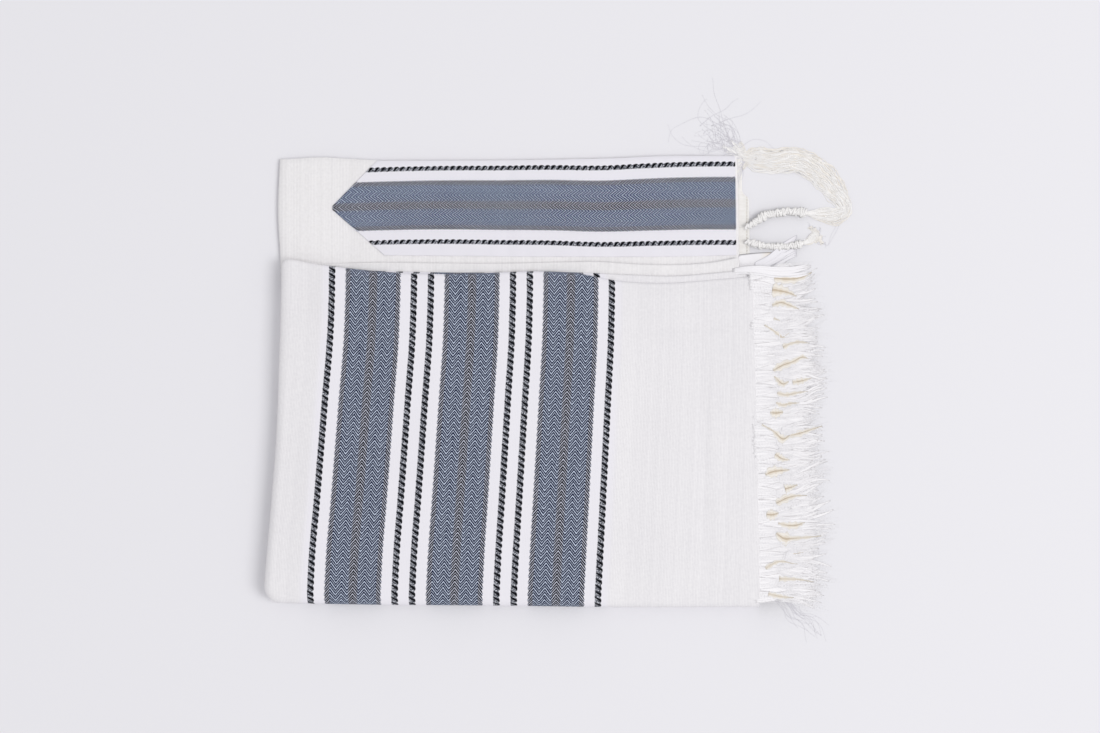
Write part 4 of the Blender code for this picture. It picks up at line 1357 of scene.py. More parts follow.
def lock_line(fringe, group, share, reach=1.0):
    """The middle of a lock from its knot to its tips, and its spread."""
    stray = group.stray
    first = fringe.knot_out + group.pull - INTO_KNOT
    last = fringe.bundle[-1].out * group.reach * stray.reach * reach
    out = first + (last - first) * share
    z, wide, tall = spread_of(fringe, out - group.pull * (1 - share))
    y = group.middle + group.drift + stray.start + group.lean * share**1.5
    y = y + group.sway * np.sin(group.waves * share + group.phase) * share
    y = y + stray.tip * share**1.4 + stray.bow * np.sin(math.pi * share)
    z = z + stray.lift * np.sin(math.pi * share)
    swell = 1.0 + (group.wide * stray.swell - 1.0) * np.minimum(share * 4, 1.0)
    opening = np.minimum(share * 8, 1.0)
    z = z - 1.6 * (1.0 - opening)
    wide = wide * swell * (0.5 + 0.5 * opening)
    return group.end + out, y, z, wide, tall * (0.6 + 0.4 * swell)


at_knot = spread_of(FRONT_FRINGE, FRONT_FRINGE.knot_out)
print("a bundle at its knot: height, half width, half height", [round(float(size), 1) for size in at_knot])

# %% [markdown]
# ## Soft bodies
# A bundle is a soft core with thick strands side by side on it, and both are flattened tubes that taper
# to their tips. Strands stray from the bundle's line more and more towards their ends.

# %% Cores and strands
Lie = namedtuple("Lie", "fill fray ends")  # share of the width filled, how far tips stray, share that tapers
ROOT_LIE, LOCK_LIE = Lie(0.86, 0.8, 0.6), Lie(0.8, 4.0, 0.8)


def body(line, ends):
    """A soft body along a line: its path, half widths and half heights. ends is the share that tapers."""
    x, y, z, wide, tall = line
    tip = 1.0 - (np.clip(BODY_SHARE - 1.0 + ends, 0.0, 1.0) / ends) ** 2.2
    tall = tall * (0.15 + 0.85 * tip)
    start = np.minimum(0.75 + BODY_SHARE * 8.0, 1.0)
    return np.stack([x, y, np.maximum(z, tall + 0.1)], 1), wide * (0.2 + 0.8 * tip) * start, tall


def strands(line, count, loose, lie):
    """A bundle's thick strands, side by side along the bundle's line, each a little astray."""
    for number in range(count):
        across = (2 * number + 1) / count - 1 + loose.uniform(-0.12, 0.12)
        x, y, z, wide, tall = line(loose)
        y = y + wide * across * lie.fill + loose.uniform(-lie.fray, lie.fray) * BODY_SHARE**2
        y = y + loose.uniform(0.2, 0.6) * np.sin(BODY_SHARE * loose.uniform(3.0, 8.0) + number)
        rise = math.sqrt(max(1 - across**2 * 0.9, 0.0)) - 0.5
        z = z + tall * rise + loose.uniform(-0.2, 0.2) * BODY_SHARE
        yield body((x, y, z, wide * 1.6 / count + 0.1, tall * 0.4 + 0.2), lie.ends)


def lay_strands(bodies, name, node, finish):
    """Soft strands that light soaks through."""
    paths, wide, tall = zip(*bodies)
    made = spin_yarns(paths, wide, sides=8, plies=4.0, tall=tall, lay=0.06)
    weightless(dress(made, name, finish, "fringe_yarn", node))


print("strands in a root and a lock:", FRONT_FRINGE.strands)

# %% [markdown]
# ## Fine yarns and knots
# Over the soft bodies lie single yarns, each in its own place on the bundle, with a crimp left from the
# weaving. Some lie close and make the surface, and finer ones stray. Each knot is a few tilted loops.

# %% Yarns and loops
THREAD, ROOT_HAIR, LOCK_HAIR, KNOT_YARN = 0.3, 0.17, 0.16, 0.6


def root_yarns(fringe, group, loose, count, thick, stray):
    """Fine yarns on the bundle between the cloth's end and the knot. They wander off by as much as stray."""
    for number in range(count):
        across = 2 * (number + 0.5 + loose.uniform(-0.4, 0.4)) / count - 1
        x, y, z, wide, tall = root_line(fringe, group, SHARE)
        y = y + wide * across
        z = z + tall * math.sqrt(max(1 - across**2, 0.0)) * 1.02 + 0.1
        y = y + loose.uniform(-0.7, 0.7) * np.sin(SHARE * loose.uniform(3.0, 9.0))
        y = y + loose.uniform(-stray, stray) * (SHARE - 0.3)
        yield np.stack([x + loose.uniform(-2.0, 1.0), y, z], 1), thick * (1.0 - 0.2 * SHARE)


def knot_loops(fringe, group, loose):
    """The tilted turns of the knot."""
    wide, tall, turns = fringe.knot
    z = float(spread_of(fringe, fringe.knot_out)[0])
    middle = group.middle + group.drift + group.stray.start
    for number in range(turns):
        tilt = loose.uniform(-0.5, 0.5)
        angle = np.linspace(0.0, 2.1 * math.pi, STATIONS) + loose.uniform(0.0, 6.0)
        across = wide * loose.uniform(0.9, 1.08) * np.cos(angle)
        out = group.end + fringe.knot_out + group.pull + (number + 0.5 - turns / 2) * 1.7 + across * tilt
        yield np.stack([out, middle + across, z + tall * np.sin(angle)], 1), np.full(STATIONS, KNOT_YARN)


def lock_yarns(fringe, group, loose, count, thick, fill, reach):
    """Yarns on the lock's surface, of the sizes and lengths given."""
    for _ in range(count):
        x, y, z, wide, tall = lock_line(fringe, group, SHARE, loose.uniform(*reach))
        ring, start = loose.uniform(*fill), loose.uniform(-0.4, math.pi + 0.4)
        angle = start + 0.25 * group.turn * SHARE
        crimp = 0.3 * np.sin((x - group.end) / loose.uniform(2.4, 4.5) + start) * np.minimum(SHARE * 3, 1.0)
        y = y + wide * ring * np.cos(angle) + crimp + loose.uniform(-6.5, 6.5) * SHARE**2.4
        z = z + tall * ring * np.sin(angle)
        radius = thick * (1.0 - 0.25 * SHARE - 0.6 * SHARE**6)
        yield np.stack([x, y, np.maximum(z, radius + 0.05)], 1), radius


print("yarns are", 2 * THREAD, "mm thick and those in a knot", 2 * KNOT_YARN)

# %% [markdown]
# ## The two fringes
# Roots and locks are gathered from every group and spun into five pieces: cores, strands, knots, threads
# and hairs. Only the cores are solid enough to cast a shadow.

# %% Make the fringes


def root_parts(fringe, group, loose):
    """One group from the cloth to just past its knot: core, strands, threads and hairs."""
    x, y, z, wide, tall = root_line(fringe, group, BODY_SHARE * 0.92)

    def line(loose):
        return root_line(fringe, group, BODY_SHARE * loose.uniform(0.88, 1.0))

    return (
        [body((x, y, z - 0.5, wide * 0.94, tall), ROOT_LIE.ends)],
        list(strands(line, fringe.strands[0], loose, ROOT_LIE)),
        list(root_yarns(fringe, group, loose, fringe.roots, THREAD, 1.0)),
        list(root_yarns(fringe, group, loose, 3, ROOT_HAIR, 10.0)),
        [],
    )


def lock_parts(fringe, group, loose):
    """One group from its knot to its tips: core, strands, threads, hairs and the knot's loops."""
    x, y, z, wide, tall = lock_line(fringe, group, BODY_SHARE, 0.76)

    def line(loose):
        return lock_line(fringe, group, BODY_SHARE, loose.uniform(0.7, 0.98))

    soft = list(strands(line, fringe.strands[1], loose, LOCK_LIE))
    knots = list(knot_loops(fringe, group, loose))
    return (
        [body((x, y, z - 0.6, wide * 0.72, tall * 0.8), LOCK_LIE.ends)],
        soft,
        list(lock_yarns(fringe, group, loose, fringe.locks, THREAD, (0.95, 1.2), (0.68, 1.02))),
        list(lock_yarns(fringe, group, loose, 6, LOCK_HAIR, (0.9, 1.5), (0.75, 1.08))),
        knots,
    )


def make_fringe(name, fringes, strays, node):
    """Spins one or more fringes into five pieces."""
    cores, soft, threads, hairs, knots = kinds = [], [], [], [], []
    for fringe in fringes:
        loose = random.Random(fringe.seed + 100)
        makers = (root_parts, lock_parts) if fringe.locks else (root_parts,)
        for group in fringe_groups(fringe, strays):
            for make_parts in makers:
                for kind, made in zip(kinds, make_parts(fringe, group, loose)):
                    kind.extend(made)
    paths, wide, tall = zip(*cores)
    filling = spin_yarns(paths, wide, sides=12, plies=10.0, tall=tall, lobes=0.03, lay=0.06)
    dress(filling, f"{name}_cores", fringe_thread, "fringe_yarn", node)
    lay_strands(soft, f"{name}_strands", node, fringe_yarn)
    for part, yarns, sides in (("knots", knots, 4), ("threads", threads, 3), ("hairs", hairs, 3)):
        paths, radii = zip(*yarns)
        fine = spin_yarns(paths, radii, sides=sides)
        weightless(dress(fine, f"{name}_{part}", fringe_thread, "fringe_yarn", node))


make_fringe("fringe_front", (FRONT_FRINGE, BETWEEN), STRAYS, "fringe_front")
make_fringe("fringe_under", (UNDER_FRINGE,), {}, "fringe_under")

# %% [markdown]
# ## Painted shade in the furrows between the locks
# Where two locks part, the eye looks down between yarns into warm shade. That shade is painted: each such
# furrow is placed one by one as strips of shade-coloured yarn laid over the locks, a pale hollow, a warm line
# in it, and a deeper core only where it is widest. They are blunt at the knot and thin out towards the tips,
# with a ragged edge.

# %% Furrows
LOCK_FURROWS = (  # x, y and half width along each, widest where the locks part
    ((230.3, 91.4, 1.0), (240.8, 90.5, 1.9), (256.6, 92.7, 1.2), (264.5, 96.7, 0.4)),
    ((228.5, 80.9, 2.0), (235.5, 80.0, 2.3), (244.3, 78.2, 1.5), (250.4, 75.6, 0.5)),
    ((228.5, 67.3, 0.6), (236.4, 69.9, 1.3), (243.4, 67.7, 1.2), (253.1, 64.2, 0.3)),
    ((229.8, 55.9, 0.5), (235.5, 54.1, 0.3)),
    ((221.5, 50.1, 0.3), (229.4, 45.3, 0.5), (238.2, 39.6, 1.1), (243.4, 43.1, 0.3)),
    ((238.2, 30.8, 1.0), (244.3, 33.5, 0.6), (250.4, 35.2, 0.9), (262.7, 34.3, 0.2)),
    ((229.4, 10.2, 0.6), (238.2, 15.0, 1.5), (247.8, 18.1, 1.1), (256.6, 22.1, 1.2), (261.9, 20.3, 0.2)),
    ((230.3, 4.9, 0.3), (239.0, -1.6, 1.3), (243.4, 0.6, 0.4)),
    ((246.9, -0.3, 0.7), (254.8, 1.0, 1.2), (264.5, 3.6, 0.2)),
    ((232.9, -9.5, 0.6), (240.8, -11.3, 0.9), (250.4, -9.5, 0.8), (261.0, -8.2, 0.2)),
    ((232.0, -17.9, 0.5), (236.8, -20.1, 0.8), (244.3, -18.8, 0.9), (253.1, -18.3, 0.2)),
    ((226.7, -26.7, 0.5), (232.0, -27.1, 2.0), (238.2, -26.2, 0.8)),
    ((219.3, -37.2, 0.3), (229.4, -42.9, 0.6), (239.0, -49.9, 2.0), (244.3, -46.4, 0.5)),
    ((243.4, -47.3, 0.6), (253.1, -45.1, 1.2), (263.6, -42.0, 0.8), (274.1, -38.9, 0.3)),
    ((231.1, -63.1, 0.9), (236.8, -67.0, 1.3), (244.3, -68.4, 0.4)),
    ((222.4, -81.1, 0.5), (227.6, -78.9, 1.9), (235.5, -77.6, 1.6), (244.3, -77.1, 0.3)),
    ((239.9, -93.8, 1.4), (246.1, -92.1, 1.1), (251.3, -90.3, 0.4)),
    ((232.0, -106.1, 0.9), (241.7, -101.7, 1.5), (249.6, -100.0, 0.8), (260.1, -100.0, 0.3)),
    ((223.2, -115.8, 0.8), (228.5, -116.2, 2.2), (233.8, -114.9, 0.9)),
    ((233.8, -123.7, 0.4), (243.4, -125.9, 1.2), (249.6, -125.9, 1.6), (258.3, -123.7, 0.3)),
    (
        (232.0, -132.4, 0.4), (239.0, -137.3, 2.3), (246.9, -137.3, 1.1), (260.1, -136.8, 0.7),
        (273.3, -135.9, 0.3),
    ),
    ((244.3, -151.3, 0.5), (250.4, -150.9, 1.2), (256.6, -150.0, 0.4)),
    ((222.4, -163.2, 0.7), (227.6, -160.1, 0.8), (232.0, -157.9, 0.7), (251.3, -160.1, 0.3)),
    ((234.6, -172.4, 0.9), (240.8, -172.8, 0.8), (250.4, -173.3, 0.6), (266.2, -176.3, 0.3)),
    ((225.0, -185.5, 0.7), (234.2, -187.7, 0.9), (247.8, -189.5, 0.3)),
)
# Three layers of painted shade for each furrow: pale hollow, warm line and deep core.
Furrow = namedtuple("Furrow", "part finish rise less widen")
FURROWS = (
    Furrow("hollows", pale_shade_yarn, 0.5, 0.0, 2.2),
    Furrow("creases", warm_shade_yarn, 0.7, 0.15, 1.3),
    Furrow("crease_cores", deep_shade_yarn, 0.95, 0.7, 0.6),
)


def furrow_line(points, rise):
    """A furrow laid on top of the locks."""
    line, _ = smooth_path(points, SHARE)
    out = line[:, 0] - through(FRONT_RIGHT, line[:, 1])
    z, _, tall = spread_of(FRONT_FRINGE, out)
    half = np.maximum(line[:, 2], 0.15)
    return np.column_stack([line[:, :2], z + tall * 0.75 + rise]), half, 0.2 + 0.2 * half


# Lay each layer of painted shade along every furrow's line.
for furrow in FURROWS:
    lines = [furrow_line(points, furrow.rise) for points in LOCK_FURROWS]
    paths, wide, tall = (np.array(column) for column in zip(*lines))
    ragged = 1.0 + 0.3 * np.sin(np.arange(wide.size).reshape(wide.shape) * 2.3)
    wide = np.maximum(wide - furrow.less, 0.05) * furrow.widen * ((1.35 - 0.7 * SHARE) * ragged)
    filled = spin_yarns(paths, wide, sides=10, plies=4.0, tall=tall, lay=0.1)
    weightless(dress(filled, f"fringe_front_{furrow.part}", furrow.finish, "fringe_yarn", "fringe_front"))

# %% [markdown]
# ## The corner at the fringe's upper end
# Here the upper layer's corner has rolled over on itself, the layer under it shows its edge, and a lock
# has sprung up over both in a spray.

# %% The rolled corner
CORNER_ROLL = (  # x, y, z
    (194.0, 97.6, 9.8), (205.0, 98.6, 13.4), (217.0, 98.2, 15.2), (230.0, 96.8, 14.2), (245.0, 97.4, 10.4),
    (262.0, 101.0, 5.4),
)
CORNER_SPRAY = ((214.0, 100.0, 8.6), (226.0, 105.0, 6.6), (238.0, 112.0, 3.6), (252.0, 119.5, 1.2))
CORNER_UNDER = ((200.0, 104.0, 4.0), (214.0, 106.0, 3.6), (230.0, 107.5, 2.6), (244.0, 109.0, 1.6))
ROLL_WIDTH = ((0.0, 3.0), (0.3, 4.4), (0.6, 5.0), (1.0, 6.5))  # share of the way, half width
SPRAY_WIDTH = ((0.0, 8.0), (0.4, 11.5), (1.0, 14.0))
UNDER_WIDTH = ((0.0, 8.5), (1.0, 7.0))


def loose_bundle(points, wide, tall):
    """A line like a lock's, through points placed by hand."""
    line, _ = smooth_path(points, BODY_SHARE)
    spread = through(wide, BODY_SHARE)
    return line[:, 0], line[:, 1], line[:, 2], spread, np.full(len(BODY_SHARE), tall)


roll = loose_bundle(CORNER_ROLL, ROLL_WIDTH, 1.8)
spray = loose_bundle(CORNER_SPRAY, SPRAY_WIDTH, 0.8)
under = loose_bundle(CORNER_UNDER, UNDER_WIDTH, 0.6)
loose = random.Random(31)
rolled = [*strands(lambda _: roll, 5, loose, Lie(0.8, 1.5, 0.5)), body(under, 0.4)]
lay_strands(rolled, "fringe_front_roll", "fringe_front", fringe_thread)
sprayed = list(strands(lambda _: spray, 9, loose, Lie(0.5, 5.0, 0.7)))
lay_strands(sprayed, "fringe_front_spray", "fringe_front", spray_yarn)

# %% [markdown]
# ## The tzitziyot
# Each corner tassel has a wound head, one thread wrapped round the other seven between double knots, and
# then eight free threads. They are hard-twisted, so they spring into waves where they lie, and their ends
# have come apart into fine curls. The head's table gives its thickness, which swells at each knot.

# %% Tables of the tzitziyot
Tzitzit = namedtuple("Tzitzit", "head run tips seed")
UPPER_TZITZIT = Tzitzit(
    (  # x, y, z, thickness
        (206.0, 137.0, 5.0, 5.0), (210.5, 138.8, 4.4, 6.2), (215.5, 142.0, 4.4, 7.4),
        (221.0, 146.0, 4.7, 8.6), (227.0, 148.4, 4.4, 7.8), (233.0, 149.2, 4.2, 7.2),
        (239.0, 150.2, 4.3, 8.2), (245.0, 150.8, 4.0, 7.0), (250.5, 150.4, 4.3, 8.2),
        (255.0, 149.8, 4.9, 9.4), (260.0, 149.4, 4.2, 7.4),
    ),
    (  # x, y, half the bundle's width
        (273.5, 148.0, 5.0), (286.0, 147.0, 5.5), (294.6, 151.5, 5.0), (291.0, 161.5, 6.5),
        (284.0, 171.0, 8.5), (273.5, 182.5, 10.5), (264.5, 190.0, 11.0), (254.0, 194.8, 11.0),
        (243.5, 195.8, 10.5), (229.4, 195.4, 10.0), (216.0, 197.5, 9.5),
    ),
    (  # x, y of each thread's tip
        (203.5, 188.5), (206.0, 195.5), (198.0, 202.0), (190.0, 205.0), (196.0, 209.0), (186.0, 208.5),
        (193.0, 214.0), (201.0, 212.0),
    ),
    11,
)
LOWER_TZITZIT = Tzitzit(
    (
        (206.5, 124.0, 4.6, 5.0), (211.0, 123.4, 4.0, 6.4), (217.0, 121.4, 4.2, 7.4),
        (223.5, 120.4, 3.8, 6.4), (230.0, 119.8, 3.8, 6.2), (235.0, 119.6, 4.1, 7.6),
        (240.5, 119.8, 3.8, 6.4), (247.0, 120.4, 3.8, 6.4), (252.0, 121.4, 4.3, 8.0),
        (256.5, 122.6, 3.8, 6.6),
    ),
    ((262.0, 124.6, 2.0), (266.0, 129.0, 3.0)),
    (
        (266.0, 136.0), (263.5, 137.5), (268.0, 133.0), (271.0, 133.5), (272.0, 129.0), (274.0, 127.0),
        (271.0, 124.0), (275.0, 122.0),
    ),
    12,
)
LONG_HAIRS = (  # x, y, z along each hair that springs away from the curls
    ((196.0, 208.0, 2.0), (189.0, 222.0, 5.0), (184.0, 240.0, 4.0), (178.0, 256.0, 2.0), (176.8, 269.0, 0.5)),
    ((193.0, 210.0, 2.0), (176.0, 222.0, 5.0), (164.5, 233.0, 4.0), (170.0, 249.5, 2.0), (172.0, 251.0, 0.6)),
    ((166.0, 226.0, 3.0), (176.0, 234.0, 6.0), (188.0, 241.0, 4.0), (195.0, 248.5, 1.5), (200.0, 251.5, 0.5)),
    ((176.0, 226.0, 3.0), (192.0, 232.0, 6.0), (206.0, 236.0, 4.0), (214.0, 242.0, 1.5), (220.0, 249.0, 0.5)),
    ((190.0, 207.0, 2.0), (170.0, 208.0, 4.0), (150.0, 211.0, 3.0), (142.0, 218.0, 1.5), (137.5, 228.0, 0.5)),
    ((186.0, 226.0, 2.0), (166.0, 234.0, 5.0), (150.0, 228.0, 3.0), (141.0, 222.0, 1.5), (139.0, 212.0, 0.5)),
    ((198.0, 212.0, 2.0), (190.0, 230.0, 6.0), (180.0, 236.0, 4.0), (174.0, 243.0, 2.0), (169.0, 254.0, 0.5)),
    ((200.0, 206.0, 2.0), (214.0, 214.0, 4.0), (224.0, 212.0, 3.0), (232.0, 206.0, 1.5), (241.0, 203.0, 1.0)),
)
STRAY_LOOP = (  # one thread's end has slipped out at the foot of the bend and turns back on itself
    ((292.0, 151.0, 2.4), (288.0, 140.0, 1.4), (281.5, 129.0, 1.0), (278.4, 121.6, 0.8), (273.6, 124.4, 0.6)),
    ((292.5, 149.0, 2.0), (289.4, 139.0, 1.2), (283.0, 127.5, 0.9), (279.0, 120.6, 0.7), (272.6, 126.0, 0.5)),
)
print("threads:", len(UPPER_TZITZIT.tips), "and", len(LOWER_TZITZIT.tips))

# %% [markdown]
# ## A wound head
# One turn of winding after another goes along the core. Each has its own slant, size and thickness, as
# turns laid by hand do.

# %% Winding round a core
WINDING, WINDING_PITCH, TURN_STATIONS = 0.85, 1.9, 17
UP = np.array([0.0, 0.0, 1.0])


def sideways(path):
    along = unit(np.gradient(path, axis=0))
    return unit(np.stack([along[:, 1], -along[:, 0], np.zeros(len(path))], 1))


def wound_head(tassel):
    """The paths, radii and directions of the winding's turns."""
    _, length = smooth_path(tassel.head, np.array([0.0, 1.0]))
    fine = np.linspace(0.0, 1.0, TURN_STATIONS)
    turn = 2 * math.pi * fine
    paths, radii, axes = [], [], []
    loose = random.Random(tassel.seed + 20)
    for number in range(int(length / WINDING_PITCH)):
        at = (number + fine) * WINDING_PITCH / length
        line, _ = smooth_path(tassel.head, np.clip(at, 0.0, 1.0))
        ring = line[:, 3] / 2 - WINDING
        swing = np.cos(turn)[:, None] * sideways(line[:, :3]) + np.sin(turn)[:, None] * UP
        along = unit(np.gradient(line[:, :3], axis=0))
        slant = (np.cos(turn) * ring * loose.uniform(-0.9, 0.6))[:, None] * along
        ring = ring * loose.uniform(0.9, 1.12)
        paths.append(line[:, :3] + swing * ring[:, None] + slant)
        radii.append(np.full(TURN_STATIONS, WINDING * loose.uniform(0.85, 1.25)))
        axes.append(along)
    return paths, radii, axes


def head_core(tassel):
    """The seven threads inside the winding, as one body."""
    line, _ = smooth_path(tassel.head, np.linspace(0.0, 1.0, 49))
    return line[None, :, :3], (line[None, :, 3] / 2 - 1.2) * 0.98


print("turns of winding:", [len(wound_head(tassel)[0]) for tassel in (UPPER_TZITZIT, LOWER_TZITZIT)])

# %% [markdown]
# ## Free threads
# Each thread keeps to its own lane of the bundle, with the spring of a hard twist in its run. Its plies
# have loosened and wander round it. A flat bed under them closes the gaps, as a real bundle is thick.

# %% Threads and their plies
THREAD_STATIONS, STRANDS, THREAD_HEIGHTS = 97, 9, (1.7, 2.9)


def thread_way(tassel, number, loose):
    """The middle of one thread from the head to its tip, and how far along it each station lies."""
    last, run, tip = np.array(tassel.head[-1][:2]), np.array(tassel.run), tassel.tips[number]
    lane, row = divmod(number, 2)
    way_points = np.array([last, *run[:, :2], tip])
    way = unit(way_points[2:] - way_points[:-2])
    offs = (lane - 1.75 + 0.5 * row) / 2.0 * run[:, 2]
    lanes = way_points[1:-1] - np.stack([way[:, 1], -way[:, 0]], 1) * offs[:, None]
    heights = np.concatenate([[3.6], np.full(len(lanes), THREAD_HEIGHTS[row]), [1.5]])
    points = np.column_stack([np.concatenate([[last], lanes, [tip]]), heights])
    path, length = smooth_path(points, np.linspace(0.0, 1.0, THREAD_STATIONS))
    at = np.linspace(0.0, length, THREAD_STATIONS)
    side, ease = sideways(path), np.clip(at / 25.0, 0.15, 1.0)[:, None]
    start = loose.uniform(0.0, 6.0)
    spring = 0.5 * np.sin(at / loose.uniform(1.8, 2.8) + start) + 1.4 * np.sin(at / loose.uniform(6.0, 10.0))
    path = path + side * (spring[:, None] * 0.6 * ease)
    path[:, 2] = path[:, 2] + 0.35 * np.cos(at / 2.3 + start) * ease[:, 0]
    return path, at, side, ease


def thread_plies(path, at, side, ease, loose):
    """The loosened plies that wander round one thread."""
    for strand in range(STRANDS):
        turn = 2 * math.pi * (at / loose.uniform(35.0, 110.0) + strand / STRANDS)
        crimp = 0.3 * np.sin(at / loose.uniform(0.9, 1.9) + strand)
        crimp = crimp + 0.6 * np.sin(at / loose.uniform(3.0, 6.0))
        reach = loose.uniform(0.6, 2.9)
        swing = reach * side * np.cos(turn)[:, None] + 0.5 * UP * np.sin(turn)[:, None]
        own = path + swing * (0.35 + 0.65 * ease) + crimp[:, None] * ease * side
        own[:, 2] = np.maximum(own[:, 2], 0.6)
        yield own, np.full(THREAD_STATIONS, loose.uniform(0.32, 0.5))


def free_threads(tassel):
    """Every thread's plies, and where each thread ends and which way it points there."""
    loose = random.Random(tassel.seed)
    plies, ends = [], []
    for number in range(len(tassel.tips)):
        path, at, side, ease = thread_way(tassel, number, loose)
        plies += thread_plies(path, at, side, ease, loose)
        ends.append((path[-1], unit(path[-1] - path[-4])))
    return plies, ends


def thread_bed(tassel):
    """The flat body under the threads: its path, half widths and half heights."""
    points = np.array([(*tassel.head[-1][:2], 2.0), *tassel.run])
    bed, _ = smooth_path(points, np.linspace(0.03, 1.0, THREAD_STATIONS))
    path = np.column_stack([bed[:, :2], np.full(THREAD_STATIONS, 1.1)])
    return path[None], bed[None, :, 2] * 0.85, np.full((1, THREAD_STATIONS), 0.85)


print("plies in each tassel:", len(free_threads(UPPER_TZITZIT)[0]))

# %% [markdown]
# ## Frizz
# At their tips the threads have come apart into curls, and a few long hairs spring away from them.

# %% Curls and hairs
FRIZZ_SHARE = np.linspace(0.0, 1.0, 29)


def frizz(ends, seed, hairs, curl):
    """Fine curls where the threads have come apart: each winds round as it drifts on."""
    loose = random.Random(seed)
    for spot, heading in ends:
        for _ in range(hairs):
            reach = curl * loose.uniform(0.5, 2.6)
            drift = unit(heading[:2] + np.array([loose.uniform(-0.9, 0.5), loose.uniform(-0.7, 1.2)]))
            side = np.array([drift[1], -drift[0]])
            loops, phase = loose.choice((-1, 1)) * loose.uniform(1.0, 6.0), loose.uniform(0.0, 6.0)
            size = 0.6 * curl * loose.uniform(0.3, 1.1) * np.minimum(FRIZZ_SHARE * 2.0, 1.0)
            line = spot[:2] + loose.uniform(-1.5, 1.5) * side + np.outer(FRIZZ_SHARE * reach, drift)
            line = line + np.outer(size * np.sin(loops * FRIZZ_SHARE + phase) - size[0], side)
            line = line + np.outer(size * np.cos(loops * FRIZZ_SHARE + phase), drift)
            arch = 7.0 * FRIZZ_SHARE * (1 - FRIZZ_SHARE) * loose.uniform(0.1, 1.6)
            rise = spot[2] * (1 - FRIZZ_SHARE) + 0.5 + arch
            yield np.column_stack([line, rise]), 0.22 - 0.1 * FRIZZ_SHARE


def bent_hair(points, loose, curl):
    """A fine hair through a few points, tapering to its tip."""
    line, _ = smooth_path(points, FRIZZ_SHARE)
    turns = loose.uniform(3.0, 7.0)
    sway = curl * np.sin(FRIZZ_SHARE * turns + loose.uniform(0.0, 6.0)) * FRIZZ_SHARE
    line = line + sideways(line) * sway[:, None]
    line[:, 2] = np.maximum(line[:, 2], 0.45)
    return line, 0.3 - 0.17 * FRIZZ_SHARE


# %% [markdown]
# ## The two tassels
# A tassel is three pieces: the solid cord under the winding and the threads, the winding and plies that
# show, and the frizz.

# %% Make the tzitziyot


def make_tzitzit(name, tassel, hairs, curl, long_hairs):
    coil, coil_radii, axes = wound_head(tassel)
    plies, ends = free_threads(tassel)
    curls = list(frizz(ends, tassel.seed, hairs, curl))
    loose = random.Random(tassel.seed + 50)
    curls += [bent_hair(points, loose, 0.8) for points in long_hairs]
    bed, bed_wide, bed_tall = thread_bed(tassel)
    cords = [
        spin_yarns(*head_core(tassel), sides=12),
        spin_yarns(bed, bed_wide, sides=10, plies=3.0, tall=bed_tall, lobes=0.03),
    ]
    dress(join_meshes(name, cords), name + "_cord", tzitzit_cord, "tzitzit_cord", name)
    paths, radii = (np.array(column) for column in zip(*plies))
    threads = [
        spin_yarns(paths, radii, sides=5, tall=radii * 0.65),
        spin_yarns(coil, coil_radii, axes, sides=6),
    ]
    weightless(dress(join_meshes("threads", threads), name + "_threads", tzitzit_cord, "tzitzit_cord", name))
    frayed = spin_yarns(*zip(*curls), sides=3)
    weightless(dress(frayed, name + "_frizz", shaded_frayed_yarn, "tzitzit_cord", name))


make_tzitzit("tzitzit_upper", UPPER_TZITZIT, 8, 15.0, LONG_HAIRS + STRAY_LOOP)
make_tzitzit("tzitzit_lower", LOWER_TZITZIT, 3, 2.0, ())

# %% [markdown]
# ## Loose hairs at the fringe's foot
# A wisp of fine hairs has slipped out past the last lock and fans over the table.

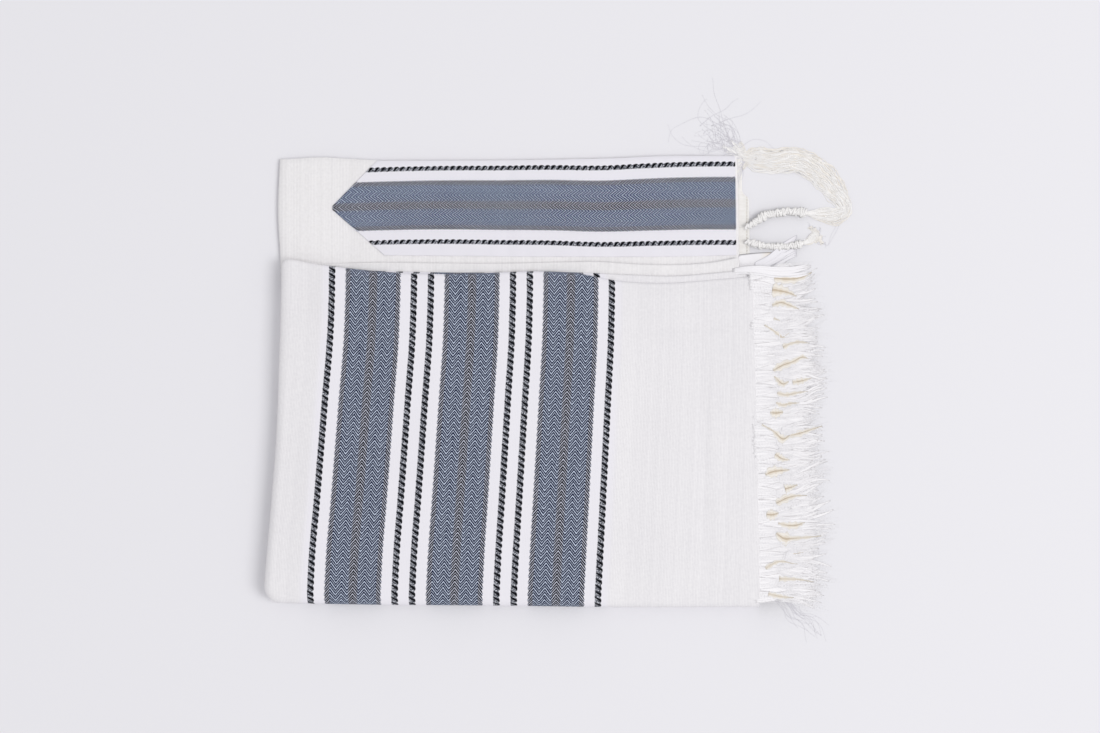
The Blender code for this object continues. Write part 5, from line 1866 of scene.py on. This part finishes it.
# %% The wisp
WISP = (  # x, y, z
    (232.0, -188.0, 9.0), (243.0, -199.0, 5.0), (249.0, -208.0, 3.0), (260.0, -213.0, 2.0),
    (271.0, -227.0, 0.6),
)
WISP_HAIRS = 16
wisp = []
for number in range(WISP_HAIRS):
    points = np.array(WISP)[: loose.choice((4, 5, 5))]
    spread = np.array([loose.uniform(-9.0, 11.0), loose.uniform(-2.0, 9.0), 0.0])
    fan = np.linspace(0.5, 1.0, len(points))[:, None] * spread
    line, radius = bent_hair(points + fan, loose, 4.5)
    wisp.append((line, radius * 0.8))
hairs = spin_yarns(*zip(*wisp), sides=3)
weightless(dress(hairs, "fringe_front_loose_hairs", shaded_frayed_yarn, "fringe_yarn", "fringe_front"))

# %% [markdown]
# ## Floor, light and camera
# A flat cloth shows its folds only in a slanting light, so one broad soft light stands to the right
# and a pale sky fills the rest. The floor is a plain pale board a little below the cloth's underside. The
# camera looks straight down from 1.6 m.

# %% Stage
FLOOR_GAP = 0.2
LIT_SPOT = Vector((0.03, 0.01, 0.0))
PALE_SKY, SKY_STRENGTH = (0.985, 0.985, 1.0, 1.0), 0.715
bm = bmesh.new()
bmesh.ops.create_grid(bm, x_segments=1, y_segments=1, size=3.0)
floor_mesh = bpy.data.meshes.new("floor")
bm.to_mesh(floor_mesh)
bm.free()
for corner in floor_mesh.vertices:
    corner.co.z = -FLOOR_GAP * MM
floor = bpy.data.objects.new("floor", floor_mesh)
bpy.context.scene.collection.objects.link(floor)
floor_board, _, shader = new_material("pale board", 0.7, 0.0)
shader.inputs["Base Color"].default_value = srgb(233, 232, 236)
floor_mesh.materials.append(floor_board)


def add_light(name, place, size, power, colour):
    light = bpy.data.lights.new(name, "AREA")
    light.size, light.energy, light.color = size, power, colour
    stand = bpy.data.objects.new(name, light)
    stand.location = place
    stand.rotation_euler = (LIT_SPOT - Vector(place)).to_track_quat("-Z", "Y").to_euler()
    bpy.context.scene.collection.objects.link(stand)


add_light("broad light", (4.4, -0.8, 5.4), 3.6, 205.0, (1.0, 0.995, 0.985))

world = bpy.data.worlds.new("pale sky")
world.use_nodes = True
world.node_tree.nodes["Background"].inputs["Color"].default_value = PALE_SKY
world.node_tree.nodes["Background"].inputs["Strength"].default_value = SKY_STRENGTH
bpy.context.scene.world = world
bpy.context.scene.view_settings.view_transform = "Standard"

eye = bpy.data.cameras.new("overhead")
eye.lens = 59.17
camera = bpy.data.objects.new("overhead", eye)
camera.location = (33.63 * MM, 13.72 * MM, 1.6)
bpy.context.scene.collection.objects.link(camera)
bpy.context.scene.camera = camera
print("camera at", [round(part, 3) for part in camera.location], "m")
